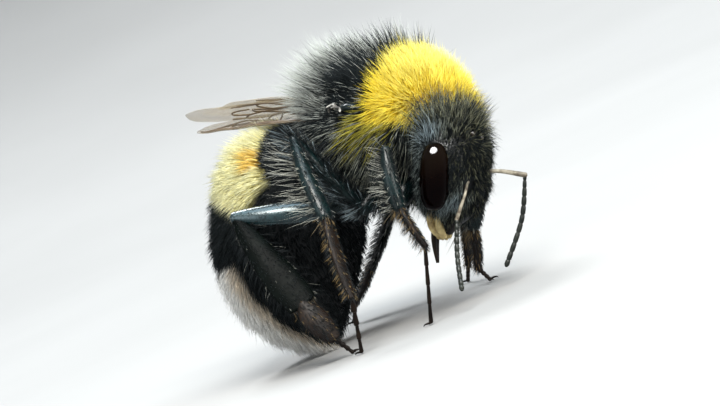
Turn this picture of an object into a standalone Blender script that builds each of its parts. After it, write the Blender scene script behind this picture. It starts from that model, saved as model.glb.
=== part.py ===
"""A life-size bumblebee worker standing on a flat surface, head low and abdomen hanging down.

Frame: metres, +Z up, the head points to -Y and the bee's left is +X. The origin is the middle
of the model's footprint box, at the level of its feet. Each body part is one solid, out to the
tips of its coat, and neighbours are parted by a thin gap.
"""

import math

import bmesh
import bpy
from mathutils import Matrix, Vector

# Every mesh is drawn in millimetres under one empty, which turns them into metres
MM = 0.001
SCALE_EMPTY = "bee_in_metres"

# Clearance between neighbours and least thicknesses
GAP = 0.035
WING_THICK = 0.5
FEELER_RADIUS = 0.25

# The body frame: its centre is the middle of the thorax, and the whole body leans with it
THORAX_CENTRE = Vector((0.0, 0.0, 5.75))
BODY_PITCH = 12.5
BODY_BANK = 18.0

THORAX_HALF_LENGTH = 3.0
THORAX_HALF_WIDTH = 2.9
THORAX_TOP = 2.87
THORAX_BOTTOM = 2.3
THORAX_FULLNESS = 2.15
REAR_CREST = 0.65
CREST_PLACE = 0.68
CREST_SPREAD = 0.33

# The head, as placed in the body frame: forward, left and up of the thorax centre
HEAD_PLACE = (2.62, -0.55, -1.3)
HEAD_TURN = 21.0
HEAD_PITCH = 4.0
HEAD_STATIONS = (
    # height, half-width, reach forward, reach back
    (2.15, 0.05, 0.05, 0.05),
    (1.95, 0.85, 0.60, 0.65),
    (1.45, 1.45, 1.10, 1.00),
    (0.80, 1.68, 1.42, 1.15),
    (0.00, 1.72, 1.58, 1.15),
    (-0.60, 1.62, 1.48, 1.05),
    (-1.15, 1.35, 1.15, 0.90),
    (-1.60, 1.00, 0.70, 0.75),
    (-1.95, 0.62, 0.35, 0.50),
)
EYE_PLACE = (0.02, 1.44, -0.34)
EYE_HALF_SIZES = (0.50, 0.52, 1.10)
EYE_TOE_IN = 12.0
# Feelers and mouth parts: the points of each middle line in the head's own frame
SCAPES = {
    "left": ((0.80, 0.28, -0.15), (1.50, 0.60, -0.15), (2.15, 0.90, -0.25)),
    "right": ((0.78, -0.30, -0.43), (0.90, -0.62, -1.00), (0.68, -0.90, -1.56)),
}
FLAGELLA = {
    "left": ((2.15, 0.90, -0.25), (2.05, 0.98, -1.60), (1.62, 0.85, -3.05)),
    "right": ((0.69, -0.93, -1.68), (0.84, -1.28, -2.72), (1.12, -1.75, -3.75)),
}
MANDIBLE = ((-0.20, 0.62, -1.30), (-0.22, 0.55, -1.80), (0.02, 0.27, -2.25))
MANDIBLE_SIZES = ((0.30, 0.26), (0.28, 0.24), (0.22, 0.22))
PROBOSCIS = ((-0.48, 0.0, -1.50), (-0.48, 0.0, -2.30), (-0.35, 0.0, -3.00))
PROBOSCIS_SIZES = ((0.25, 0.25),) * 3

# The abdomen's middle line in the body frame, from the waist to the tip of the tail
ABDOMEN_STATIONS = (
    # behind the thorax centre, up, half-width, reach to the back, reach to the belly
    (2.25, -0.75, 1.30, 0.80, 0.80),
    (3.10, -1.10, 2.40, 1.80, 1.20),
    (4.00, -1.90, 2.95, 2.65, 1.80),
    (4.40, -3.05, 3.05, 2.70, 1.95),
    (4.35, -4.30, 2.80, 2.50, 1.75),
    (4.00, -5.35, 2.15, 2.05, 1.35),
    (3.50, -6.20, 1.15, 1.10, 0.85),
    (3.15, -6.60, 0.30, 0.30, 0.30),
)
ABDOMEN_ENDS = (0.0, 0.18, 0.37, 0.51, 0.67, 0.83, 1.0)

# Rows and sides of a slim rounded piece
FEELER_ROWS = {"rows": 4, "count": 8, "round_start": True, "round_end": True}

COLOURS = {
    "coat_black": (0.020, 0.020, 0.022),
    "coat_yellow": (0.85, 0.62, 0.05),
    "coat_white": (0.80, 0.78, 0.70),
    "shell_black": (0.015, 0.015, 0.017),
    "eye_brown": (0.020, 0.010, 0.008),
    "shell_brown": (0.10, 0.055, 0.025),
    "wing_amber": (0.45, 0.38, 0.28),
}
ROUGHNESS = {
    "coat_black": 0.8,
    "coat_yellow": 0.8,
    "coat_white": 0.8,
    "shell_black": 0.3,
    "eye_brown": 0.1,
}
PLAIN_ROUGHNESS = 0.5

# Wings lie flat in the body frame and point backwards and inwards, the left pair over the right
WING_ROOT = (-0.15, 1.9, 0.55)
WING_PAIRS = (
    # name, side, degrees inwards, level above the root
    ("right", -1, 13.0, 0.0),
    ("left", 1, 1.0, WING_THICK + GAP),
)
FOREWING_LENGTH = 9.3
FOREWING_WIDTHS = (
    # share of the length, reach to the outer edge, reach to the inner edge
    (0.00, 0.25, 0.25),
    (0.12, 0.30, 0.50),
    (0.28, 0.32, 0.95),
    (0.45, 0.32, 1.50),
    (0.62, 0.34, 2.15),
    (0.76, 0.36, 2.45),
    (0.87, 0.25, 2.30),
    (0.95, -0.15, 1.80),
    (1.00, -0.75, 1.10),
)
HINDWING_START = 0.11
HINDWING_END = 0.72
HINDWING_WIDTHS = (0.40, 0.75, 1.10, 1.35, 1.45, 1.25, 0.75, 0.25)
TEGULA_RADII = (0.42, 0.50, 0.26)
# How far a wing's plate sits forward, outward and up of the wing's root
TEGULA_OFFSET = (0.15, 0.10, 0.12)

# Legs: places in the body frame (forward, outward, up), and the foot on the floor (x, y)
COXAE = {"front": (1.10, 0.80, -1.70), "mid": (0.20, 0.80, -1.75), "hind": (-0.95, 0.80, -1.75)}
HIPS = {"front": (1.30, 1.50, -2.40), "mid": (0.05, 1.70, -2.45), "hind": (-1.50, 1.60, -2.45)}
LEGS = {
    # knee, end of the shin, heel, and the foot on the floor
    "front_right": ((2.16, 3.00, -0.77), (2.53, 2.95, -2.49), (3.36, 2.75, -3.75), (-3.65, -1.50)),
    "mid_right": ((-1.33, 3.30, -0.27), (0.21, 3.70, -2.68), (1.32, 3.90, -5.20), (-4.90, 0.50)),
    "hind_right": ((-3.84, 3.40, -2.57), (-1.45, 3.10, -5.35), (-0.50, 2.75, -6.45), (-4.30, 1.45)),
    "front_left": ((1.60, 2.75, -1.30), (1.00, 3.00, -3.10), (0.55, 3.05, -4.50), (1.50, 0.30)),
    "mid_left": ((-0.90, 3.40, -0.80), (-0.70, 4.00, -3.00), (-0.90, 4.30, -4.35), (3.00, 2.60)),
    "hind_left": ((-3.20, 3.45, -2.10), (-4.60, 3.90, -4.20), (-5.60, 4.10, -5.40), (2.30, 7.40)),
}
# Half the breadth and half the thickness along each length of a leg, start, middle and end
LIMB_SIZES = {
    "coxa": ((0.45, 0.45), (0.45, 0.42), (0.34, 0.34)),
    "femur": ((0.30, 0.30), (0.42, 0.36), (0.30, 0.28)),
    "tibia": ((0.28, 0.28), (0.38, 0.33), (0.36, 0.30)),
    "basitarsus": ((0.26, 0.25), (0.30, 0.25), (0.26, 0.25)),
    "tarsus": ((0.25, 0.25), (0.26, 0.25), (0.30, 0.26)),
}
SOLE_HEIGHT = 0.25
# How far the middle of a length of leg bows outward from the straight line
FEMUR_BOW = 0.12
TIBIA_BOW = 0.10
HIND_SIZES = {
    "tibia": ((0.28, 0.27), (0.48, 0.30), (0.62, 0.30)),
    "basitarsus": ((0.42, 0.26), (0.45, 0.26), (0.33, 0.25)),
}


def material(name):
    """The shared material of that name, made once."""
    found = bpy.data.materials.get(name)
    if found:
        return found
    made = bpy.data.materials.new(name)
    made.use_nodes = True
    shader = made.node_tree.nodes["Principled BSDF"]
    shader.inputs["Base Color"].default_value = (*COLOURS[name], 1.0)
    shader.inputs["Roughness"].default_value = ROUGHNESS.get(name, PLAIN_ROUGHNESS)
    shader.inputs["Metallic"].default_value = 0.0
    return made


def catmull(stations, share):
    """A smooth value along a list of equal-length tuples, where share runs from 0 to 1."""
    last = len(stations) - 1
    place = min(max(share, 0.0), 1.0) * last
    i = min(int(place), last - 1)
    f = place - i
    before = stations[max(i - 1, 0)]
    start, end = stations[i], stations[i + 1]
    after = stations[min(i + 2, last)]
    values = []
    for b, s, e, a in zip(before, start, end, after):
        square = 2 * b - 5 * s + 4 * e - a
        cube = 3 * s - b - 3 * e + a
        values.append(0.5 * (2 * s + (e - b) * f + square * f**2 + cube * f**3))
    return tuple(values)


def turned(pitch, bank, turn=0.0):
    """A rotation: pitch lowers the front, bank lowers the left side, turn swings the front to the left."""
    return (
        Matrix.Rotation(math.radians(turn), 3, "Z")
        @ Matrix.Rotation(math.radians(pitch), 3, "X")
        @ Matrix.Rotation(math.radians(bank), 3, "Y")
    )


BODY = turned(BODY_PITCH, BODY_BANK)
HEAD = BODY @ turned(HEAD_PITCH, 0.0, HEAD_TURN)


def body_place(forward, left, up):
    """A point of the body frame."""
    return THORAX_CENTRE + BODY @ Vector((left, -forward, up))


HEAD_CENTRE = body_place(*HEAD_PLACE)


def head_place(forward, left, up):
    """A point of the head's own frame."""
    return HEAD_CENTRE + HEAD @ Vector((left, -forward, up))


def solid(name, rings, colour, smooth_angle=50.0):
    """A closed mesh through rings of points, given in millimetres, with flat or pointed ends."""
    mesh = bpy.data.meshes.new(name)
    build = bmesh.new()
    rows = [[build.verts.new(p) for p in ring] for ring in rings]
    for row, following in zip(rows, rows[1:]):
        if len(row) == 1:
            for i, vertex in enumerate(following):
                build.faces.new((row[0], vertex, following[(i + 1) % len(following)]))
        elif len(following) == 1:
            for i, vertex in enumerate(row):
                build.faces.new((vertex, following[0], row[(i + 1) % len(row)]))
        else:
            for i, vertex in enumerate(row):
                j = (i + 1) % len(row)
                build.faces.new((vertex, following[i], following[j], row[j]))
    for row in (rows[0], rows[-1]):
        if len(row) > 2:
            build.faces.new(row)
    bmesh.ops.recalc_face_normals(build, faces=build.faces)
    if build.calc_volume(signed=True) < 0:
        bmesh.ops.reverse_faces(build, faces=build.faces)
    build.to_mesh(mesh)
    build.free()
    mesh.shade_smooth()
    mesh.set_sharp_from_angle(angle=math.radians(smooth_angle))
    made = bpy.data.objects.new(name, mesh)
    made.data.materials.append(material(colour))
    made.parent = bpy.data.objects[SCALE_EMPTY]
    bpy.context.scene.collection.objects.link(made)
    return made


def oval(centre, across, upright, half_width, above, below, count):
    """One ring of points with its own reach above and below the centre."""
    points = []
    for i in range(count):
        angle = 2 * math.pi * i / count
        reach = above if math.sin(angle) > 0 else below
        points.append(centre + across * half_width * math.cos(angle) + upright * reach * math.sin(angle))
    return points


def thorax_rings(grow=0.0, rows=12, count=18):
    """A furry ball, a little flat below, with a crest of longer hair over its rear half."""
    across, upright = BODY @ Vector((1, 0, 0)), BODY @ Vector((0, 0, 1))
    half_length = THORAX_HALF_LENGTH + grow
    rings = [[body_place(half_length, 0, 0)]]
    for i in range(1, rows):
        share = -math.cos(math.pi * i / rows)
        full = (1 - abs(share) ** THORAX_FULLNESS) ** (1 / THORAX_FULLNESS)
        crest = REAR_CREST * math.exp(-(((share - CREST_PLACE) / CREST_SPREAD) ** 2)) * math.sqrt(full)
        half_width = THORAX_HALF_WIDTH * full + grow
        above = THORAX_TOP * full + crest + grow
        below = THORAX_BOTTOM * full + grow
        centre = body_place(-share * half_length, 0, 0)
        rings.append(oval(centre, across, upright, half_width, above, below, count))
    rings.append([body_place(-half_length, 0, 0)])
    return rings


def head_rings(grow=0.0, rows=12, count=18):
    """The head from its crown down to the mouth."""
    across, ahead = HEAD @ Vector((1, 0, 0)), HEAD @ Vector((0, -1, 0))
    rings = []
    for i in range(rows + 1):
        height, half_width, front, back = catmull(HEAD_STATIONS, i / rows)
        if i == 0:
            height += grow
        if i == rows:
            height -= grow
        centre = head_place(0, 0, height)
        rings.append(oval(centre, across, ahead, half_width + grow, front + grow, back + grow, count))
    return rings


def abdomen_ring(share, grow=0.0, count=20, shift=0.0):
    """One ring of the abdomen, square to its bent middle line and moved along it by shift."""
    back, up, half_width, above, below = catmull(ABDOMEN_STATIONS, share)
    step = 0.01
    back_before, up_before = catmull(ABDOMEN_STATIONS, share - step)[:2]
    back_after, up_after = catmull(ABDOMEN_STATIONS, share + step)[:2]
    along = (BODY @ Vector((0, back_after - back_before, up_after - up_before))).normalized()
    across = BODY @ Vector((1, 0, 0))
    upright = across.cross(along).normalized()
    centre = body_place(-back, 0, up) + along * shift
    return oval(centre, across, upright, half_width + grow, above + grow, below + grow, count)


def abdomen_segment(number, grow=0.0):
    """Rings of one of the six segments, whose ends leave half a gap to the next."""
    start, end = ABDOMEN_ENDS[number - 1], ABDOMEN_ENDS[number]
    rows = 4 if number in (1, 6) else 3
    rings = []
    for i in range(rows + 1):
        shift = {0: GAP / 2 - grow, rows: grow - GAP / 2}.get(i, 0.0)
        rings.append(abdomen_ring(start + (end - start) * i / rows, grow, shift=shift))
    return rings


def ellipsoid(centre, frame, sizes, grow=0.0, rows=8, count=14):
    """An ellipsoid whose poles lie along the frame's third axis."""
    width, depth, height = (size + grow for size in sizes)
    across, ahead, pole = (frame @ axis for axis in Matrix.Identity(3))
    rings = [[centre + pole * height]]
    for i in range(1, rows):
        tilt = math.pi * i / rows
        middle = centre + pole * height * math.cos(tilt)
        reach = depth * math.sin(tilt)
        rings.append(oval(middle, across, ahead, width * math.sin(tilt), reach, reach, count))
    rings.append([centre - pole * height])
    return rings


def limb_rings(points, sizes, flat, grow=0.0, rows=5, count=10, round_start=False, round_end=False):
    """Rings round a smooth path; flat is the direction in which the limb is broad."""
    rings = []
    stations = [(*p, *catmull(sizes, i / (len(points) - 1))) for i, p in enumerate(points)]
    step = 0.02
    first, last = None, None
    for i in range(rows + 1):
        share = i / rows
        x, y, z, breadth, thick = catmull(stations, share)
        before, after = catmull(stations, share - step), catmull(stations, share + step)
        along = (Vector(after[:3]) - Vector(before[:3])).normalized()
        wide = (flat - along * flat.dot(along)).normalized()
        thin = along.cross(wide)
        centre = Vector((x, y, z))
        if i == 0 and not round_start:
            centre -= along * grow
        if i == rows and not round_end:
            centre += along * grow
        rings.append(oval(centre, wide, thin, breadth + grow, thick + grow, thick + grow, count))
        edge = (centre, along, wide, thin, breadth + grow, thick + grow)
        first = first or edge
        last = edge
    if round_start:
        rings = dome(first, -1, count)[::-1] + rings
    if round_end:
        rings = rings + dome(last, 1, count)
    return rings


def dome(edge, way, count):
    """Two closing rows over a limb's end: a smaller ring, then a point."""
    centre, along, wide, thin, breadth, thick = edge
    tip = along * thick * way
    share = math.cos(math.pi / 4)
    ring = oval(centre + tip * share, wide, thin, breadth * share, thick * share, thick * share, count)
    return [ring, [centre + tip]]


def cutter(name, rings):
    """A hidden solid that only cuts room for a neighbour."""
    made = solid("room_" + name, rings, "shell_black")
    made.hide_render = True
    made.display_type = "WIRE"
    made.hide_set(True)
    return made


def carve(target, tool):
    """Cut the tool's shape out of the target, exactly."""
    cut = target.modifiers.new("room", "BOOLEAN")
    cut.operation = "DIFFERENCE"
    cut.solver = "EXACT"
    cut.object = tool


def make_trunk():
    """The thorax, the head and the six segments of the abdomen."""
    parts = {
        "thorax": solid("thorax", thorax_rings(), "coat_black"),
        "head": solid("head", head_rings(), "coat_black"),
    }
    colours = ("coat_black", "coat_yellow", "coat_black", "coat_white", "coat_white", "coat_white")
    for number, colour in enumerate(colours, start=1):
        name = f"abdomen_{number}"
        parts[name] = solid(name, abdomen_segment(number), colour)
    carve(parts["thorax"], cutter("head", head_rings(GAP)))
    carve(parts["abdomen_1"], cutter("thorax", thorax_rings(GAP)))
    return parts


def make_eyes(parts):
    """Two long oval eyes, half sunk in the sides of the head."""
    forward, outward, up = EYE_PLACE
    for name, side in (("right", -1), ("left", 1)):
        frame = HEAD @ Matrix.Rotation(math.radians(-side * EYE_TOE_IN), 3, "Z")
        centre = head_place(forward, side * outward, up)
        eye = "eye_" + name
        parts[eye] = solid(eye, ellipsoid(centre, frame, EYE_HALF_SIZES), "eye_brown")
        room = cutter(eye, ellipsoid(centre, frame, EYE_HALF_SIZES, GAP))
        carve(parts["head"], room)
        carve(parts["thorax"], room)


def make_mouth(parts):
    """Two mandibles and the folded tongue behind them."""
    across = HEAD @ Vector((1, 0, 0))
    mirrored = tuple((forward, -left, up) for forward, left, up in MANDIBLE)
    pieces = {
        "mandible_right": (MANDIBLE_SIZES, mirrored),
        "mandible_left": (MANDIBLE_SIZES, MANDIBLE),
        "proboscis": (PROBOSCIS_SIZES, PROBOSCIS),
    }
    for name, (sizes, places) in pieces.items():
        path = [head_place(*place) for place in places]
        parts[name] = solid(name, limb_rings(path, sizes, across, **FEELER_ROWS), "shell_brown")
        carve(parts["head"], cutter(name, limb_rings(path, sizes, across, GAP, **FEELER_ROWS)))


def make_antennae(parts):
    """Each antenna: a scape from the middle of the face and a longer flagellum beyond the elbow."""
    across = HEAD @ Vector((1, 0, 0))
    sizes = ((FEELER_RADIUS, FEELER_RADIUS),) * 3
    for side in SCAPES:
        scape_path = [head_place(*place) for place in SCAPES[side]]
        flagellum_path = [head_place(*place) for place in FLAGELLA[side]]
        scape, flagellum = "scape_" + side, "flagellum_" + side
        parts[scape] = solid(scape, limb_rings(scape_path, sizes, across, **FEELER_ROWS), "shell_black")
        rings = limb_rings(flagellum_path, sizes, across, rows=7, count=8, round_end=True)
        parts[flagellum] = solid(flagellum, rings, "shell_black")
        room = cutter(scape, limb_rings(scape_path, sizes, across, GAP, **FEELER_ROWS))
        carve(parts["head"], room)
        carve(parts[flagellum], room)


def wing_slab(edges, side, inwards, level, grow=0.0):
    """A flat plate between two edge lines, given as (along, outward) pairs of the wing's own plane."""
    outer, inner = edges
    swing = Matrix.Rotation(math.radians(side * inwards), 3, "Z")
    forward, outward, up = WING_ROOT
    root = Vector((side * outward, -forward, up + level))
    rings = []
    for i, ((a_out, out), (a_in, inn)) in enumerate(zip(outer, inner)):
        push = {0: -grow, len(outer) - 1: grow}.get(i, 0.0)
        half = WING_THICK / 2 + grow
        out += grow
        inn -= grow
        ring = []
        for along, reach, lift in (
            (a_out, out, half), (a_out, out, -half), (a_in, inn, -half), (a_in, inn, half),
        ):
            flat_place = root + swing @ Vector((side * reach, along + push, lift))
            ring.append(THORAX_CENTRE + BODY @ flat_place)
        rings.append(ring)
    return rings


def forewing_reach(along):
    """How far a forewing reaches outward and inward of its axis at a distance from its root."""
    low, high = 0.0, 1.0
    for _ in range(30):
        middle = (low + high) / 2
        if catmull(FOREWING_WIDTHS, middle)[0] * FOREWING_LENGTH < along:
            low = middle
        else:
            high = middle
    return catmull(FOREWING_WIDTHS, low)[1:]


def hindwing_width(along):
    """The breadth of a hindwing at a distance from the forewing's root, and nothing beyond its ends."""
    share = (along / FOREWING_LENGTH - HINDWING_START) / (HINDWING_END - HINDWING_START)
    if share < 0 or share > 1:
        return 0.0
    return catmull([(width,) for width in HINDWING_WIDTHS], share)[0]


def forewing_edges(rows=11):
    """Outer and inner edge lines of a forewing."""
    distances = [FOREWING_LENGTH * i / rows for i in range(rows + 1)]
    reaches = [(along, *forewing_reach(along)) for along in distances]
    return [(along, out) for along, out, _ in reaches], [(along, -inn) for along, _, inn in reaches]


def hindwing_edges(rows=8):
    """Edge lines of a hindwing, which borders its forewing with a thin gap."""
    outer, inner = [], []
    for i in range(rows + 1):
        along = (HINDWING_START + (HINDWING_END - HINDWING_START) * i / rows) * FOREWING_LENGTH
        edge = -forewing_reach(along)[1] - 1.5 * GAP
        outer.append((along, edge))
        inner.append((along, edge - hindwing_width(along)))
    return outer, inner


def wing_pair_edges():
    """Edge lines round both wings of one side, as far as the hindwing's tip, which cut their common slot."""
    inner = [(0.0, -forewing_reach(0.0)[1])] + hindwing_edges()[1]
    return [(along, forewing_reach(along)[0]) for along, _ in inner], inner


def make_wings(parts):
    """Two pairs of wings and the small plates over their roots."""
    forward, outward, up = (root + offset for root, offset in zip(WING_ROOT, TEGULA_OFFSET))
    for name, side, inwards, level in WING_PAIRS:
        tegula = "tegula_" + name
        centre = body_place(forward, side * outward, up + level)
        parts[tegula] = solid(tegula, ellipsoid(centre, BODY, TEGULA_RADII, rows=6, count=10), "shell_black")
        plate_room = cutter(tegula, ellipsoid(centre, BODY, TEGULA_RADII, GAP, rows=6, count=10))
        carve(parts["thorax"], plate_room)
        for kind, edges in (("forewing_", forewing_edges()), ("hindwing_", hindwing_edges())):
            wing = kind + name
            parts[wing] = solid(wing, wing_slab(edges, side, inwards, level), "wing_amber", smooth_angle=30.0)
        carve(parts["forewing_" + name], plate_room)
        slot = cutter("wings_" + name, wing_slab(wing_pair_edges(), side, inwards, level, GAP))
        for segment in ("thorax", "abdomen_1", "abdomen_2"):
            carve(parts[segment], slot)


def leg_side(name):
    """-1 for a leg of the right side and 1 for one of the left."""
    return -1 if name.endswith("right") else 1


def leg_points(name):
    """The joints of a leg, in the floor frame, with the foot's sole at the floor."""
    row = name.split("_")[0]
    knee, shin, heel, foot = LEGS[name]
    places = {"coxa": COXAE[row], "hip": HIPS[row], "knee": knee, "shin": shin, "heel": heel}
    joints = {}
    for joint, (forward, outward, up) in places.items():
        joints[joint] = body_place(forward, leg_side(name) * outward, up)
    joints["foot"] = Vector((*foot, 0.0))
    return joints


def tarsus_rings(heel, foot, flat, count=10):
    """The last length of a leg, whose end is a flat sole on the floor."""
    sizes = LIMB_SIZES["tarsus"]
    ankle = foot + Vector((0, 0, SOLE_HEIGHT))
    rings = limb_rings([heel, (heel + ankle) / 2, ankle], sizes, flat, rows=3, count=count)
    rings.pop()
    down = Vector((0, 0, -1))
    wide = (flat - down * flat.dot(down)).normalized()
    breadth, thick = sizes[-1]
    for centre in (ankle, foot):
        rings.append(oval(centre, wide, down.cross(wide), breadth, thick, thick, count))
    return rings


def make_leg(name, parts):
    """One leg: coxa, femur, tibia, basitarsus and tarsus, each a solid of its own."""
    joints = leg_points(name)
    outward = BODY @ Vector((leg_side(name), 0, 0))
    sizes = dict(LIMB_SIZES)
    if name.startswith("hind"):
        sizes.update(HIND_SIZES)
    coxa, femur, tibia = f"coxa_{name}", f"femur_{name}", f"tibia_{name}"
    basitarsus, tarsus = f"basitarsus_{name}", f"tarsus_{name}"
    # The broad side of a leg lies in the plane in which its knee bends
    thigh = joints["knee"] - joints["hip"]
    shank = joints["shin"] - joints["knee"]
    flat = thigh.cross(shank).normalized().cross(shank.normalized())

    round_both = {"round_start": True, "round_end": True}
    pieces = (
        # name, kind, start, end, outward bow, rows and round ends
        (coxa, "coxa", "coxa", "hip", 0.0, {"rows": 3, **round_both}),
        (femur, "femur", "hip", "knee", FEMUR_BOW, {"rows": 4, **round_both}),
        (tibia, "tibia", "knee", "shin", TIBIA_BOW, {"rows": 4}),
        (basitarsus, "basitarsus", "shin", "heel", 0.0, {"rows": 3}),
    )
    rooms = {}
    for piece, kind, start, end, bow, settings in pieces:
        middle = (joints[start] + joints[end]) / 2 + outward * bow
        path = [joints[start], middle, joints[end]]
        parts[piece] = solid(piece, limb_rings(path, sizes[kind], flat, **settings), "shell_black")
        rooms[piece] = cutter(piece, limb_rings(path, sizes[kind], flat, GAP, **settings))
    parts[tarsus] = solid(tarsus, tarsus_rings(joints["heel"], joints["foot"], flat), "shell_brown")
    for piece in (coxa, femur, tibia):
        carve(parts["thorax"], rooms[piece])
    carve(parts[femur], rooms[coxa])
    carve(parts[tibia], rooms[femur])
    carve(parts[basitarsus], rooms[tibia])
    carve(parts[tarsus], rooms[basitarsus])
    return rooms


def centre_on_origin(empty):
    """Move the empty so that the footprint's middle is the origin."""
    corners = []
    for thing in bpy.data.objects:
        if thing.data and not thing.hide_render:
            corners.extend(vertex.co for vertex in thing.data.vertices)
    low = [min(corner[i] for corner in corners) for i in range(3)]
    high = [max(corner[i] for corner in corners) for i in range(3)]
    empty.location = Vector((-(low[0] + high[0]) / 2, -(low[1] + high[1]) / 2, -low[2])) * MM


def main():
    for old in list(bpy.data.objects):
        bpy.data.objects.remove(old)
    empty = bpy.data.objects.new(SCALE_EMPTY, None)
    empty.scale = (MM, MM, MM)
    bpy.context.scene.collection.objects.link(empty)
    parts = make_trunk()
    make_eyes(parts)
    make_mouth(parts)
    make_antennae(parts)
    make_wings(parts)
    for name in LEGS:
        rooms = make_leg(name, parts)
        if name.startswith("hind"):
            for number in range(1, 6):
                for piece in ("femur_", "tibia_"):
                    carve(parts[f"abdomen_{number}"], rooms[piece + name])
    centre_on_origin(empty)


main()
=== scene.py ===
"""Looks of a life-size bumblebee worker: skin, coat, eyes, face, feelers, wings and legs.

Everything is drawn in millimetres in the bee's own body frame (x to its left, y backwards, z up
from the middle of the thorax) and set into the world with the body's lean. The coat is made of
closed, tapering hairs, joined into one mesh for each part of the coat.
"""

import math

import bmesh
import bpy
import numpy as np
from bpy.props import FloatProperty, FloatVectorProperty, IntProperty, PointerProperty
from mathutils import Matrix, Vector
from mathutils.bvhtree import BVHTree
from mathutils.kdtree import KDTree


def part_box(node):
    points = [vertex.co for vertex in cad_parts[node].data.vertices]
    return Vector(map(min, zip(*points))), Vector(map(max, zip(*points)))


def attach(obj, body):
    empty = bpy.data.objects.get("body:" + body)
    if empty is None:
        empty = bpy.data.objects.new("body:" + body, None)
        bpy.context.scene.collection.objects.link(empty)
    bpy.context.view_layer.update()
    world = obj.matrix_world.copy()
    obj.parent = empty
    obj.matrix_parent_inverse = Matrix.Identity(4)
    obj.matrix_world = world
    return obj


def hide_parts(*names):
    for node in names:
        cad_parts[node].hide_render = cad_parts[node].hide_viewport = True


bl_info = {
    "name": "Bumblebee",
    "version": (1, 0, 0),
    "blender": (4, 5, 0),
    "location": "3D View > Sidebar > Bee",
    "description": "Builds the skin, coat, eyes, wings and legs of a bumblebee on its frame",
    "category": "Add Mesh",
}

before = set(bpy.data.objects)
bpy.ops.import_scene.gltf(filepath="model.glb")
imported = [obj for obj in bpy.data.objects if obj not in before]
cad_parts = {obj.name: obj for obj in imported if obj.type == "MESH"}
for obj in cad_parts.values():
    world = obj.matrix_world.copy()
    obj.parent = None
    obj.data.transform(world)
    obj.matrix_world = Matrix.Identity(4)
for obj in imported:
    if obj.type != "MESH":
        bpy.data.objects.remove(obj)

MM = 0.001

# The body's lean and the place of the head in it, as the frame has them
BODY_PITCH = 12.5
BODY_BANK = 18.0
HEAD_PLACE = (2.62, -0.55, -1.3)
HEAD_TURN = 21.0
HEAD_PITCH = 4.0
EYE_PLACE = (0.02, 1.44, -0.34)
EYE_HALF_SIZES = (0.50, 0.45, 1.04)
EYE_FULLNESS = 2.7
EYE_TOE_IN = 12.0

# The skin under the coat
THORAX_HALF_LENGTH = 2.25
THORAX_HALF_WIDTH = 2.12
THORAX_TOP = 2.12
THORAX_BOTTOM = 1.85
THORAX_FULLNESS = 2.4
HEAD_STATIONS = (
    # height, half-width, reach forward, reach back
    (1.58, 0.10, 0.08, 0.08),
    (1.46, 0.72, 0.48, 0.50),
    (1.10, 1.18, 0.84, 0.78),
    (0.60, 1.40, 1.10, 0.92),
    (0.00, 1.47, 1.17, 0.95),
    (-0.60, 1.42, 1.06, 0.88),
    (-1.15, 1.12, 0.86, 0.74),
    (-1.52, 0.66, 0.72, 0.55),
    (-1.82, 0.30, 0.40, 0.32),
)
ABDOMEN_STATIONS = (
    # behind the thorax centre, up, half-width, reach to the back, reach to the belly
    (2.25, -0.75, 1.30, 0.80, 0.80),
    (3.10, -1.10, 2.40, 1.80, 1.20),
    (4.00, -1.90, 2.95, 2.65, 1.80),
    (4.40, -3.05, 3.05, 2.70, 1.95),
    (4.35, -4.30, 2.80, 2.50, 1.75),
    (4.00, -5.35, 2.15, 2.05, 1.35),
    (3.50, -6.20, 1.15, 1.10, 0.85),
    (3.15, -6.60, 0.30, 0.30, 0.30),
)
ABDOMEN_ENDS = (0.0, 0.18, 0.37, 0.51, 0.67, 0.83, 1.0)
ABDOMEN_COAT_DEPTH = 0.46
ABDOMEN_BELLY_DEPTH = 0.30
LEAST_REACH = 0.05
SEGMENT_STEP = 0.035
# The face's raised shield and its two feeler sockets: (height, width) and (aside, width)
SHIELD = ((-0.95, 0.5), (0.0, 0.62))
SHIELD_RISE = 0.16
SOCKET = ((-0.15, 0.28), (0.30, 0.22))
SOCKET_DEPTH = 0.12
SKIN_VOXEL = 0.07
# How much darker the bare skin is than the roots of its hairs
SKIN_SHADE = 0.8

# Markings: the collar by how squarely it faces forward and its height, the abdomen's by shares of its
# length and by how far up its flank they reach
COLLAR_EDGE = 0.36
COLLAR_SLANT = 0.04
COLLAR_FOOT = 0.22
YELLOW_BAND = (0.20, 0.345)
WHITE_TAIL_START = 0.52
BELLY_EDGE = -0.12
TAIL_EDGE = 0.12

# Seeds of the random draws, and the number of waves that make uneven values
SEEDS = {"thorax": 101, "head": 202, "abdomen": 303, "legs": 400, "wing_roots": 71}
NOISE_WAVES = 6

# The coat: how deep a root sits, how near the skin it has to be, and where back and sides meet
ROOT_DEPTH = 0.03
SKIN_REACH = 0.09
FLANK_HEIGHT = 0.4
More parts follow.
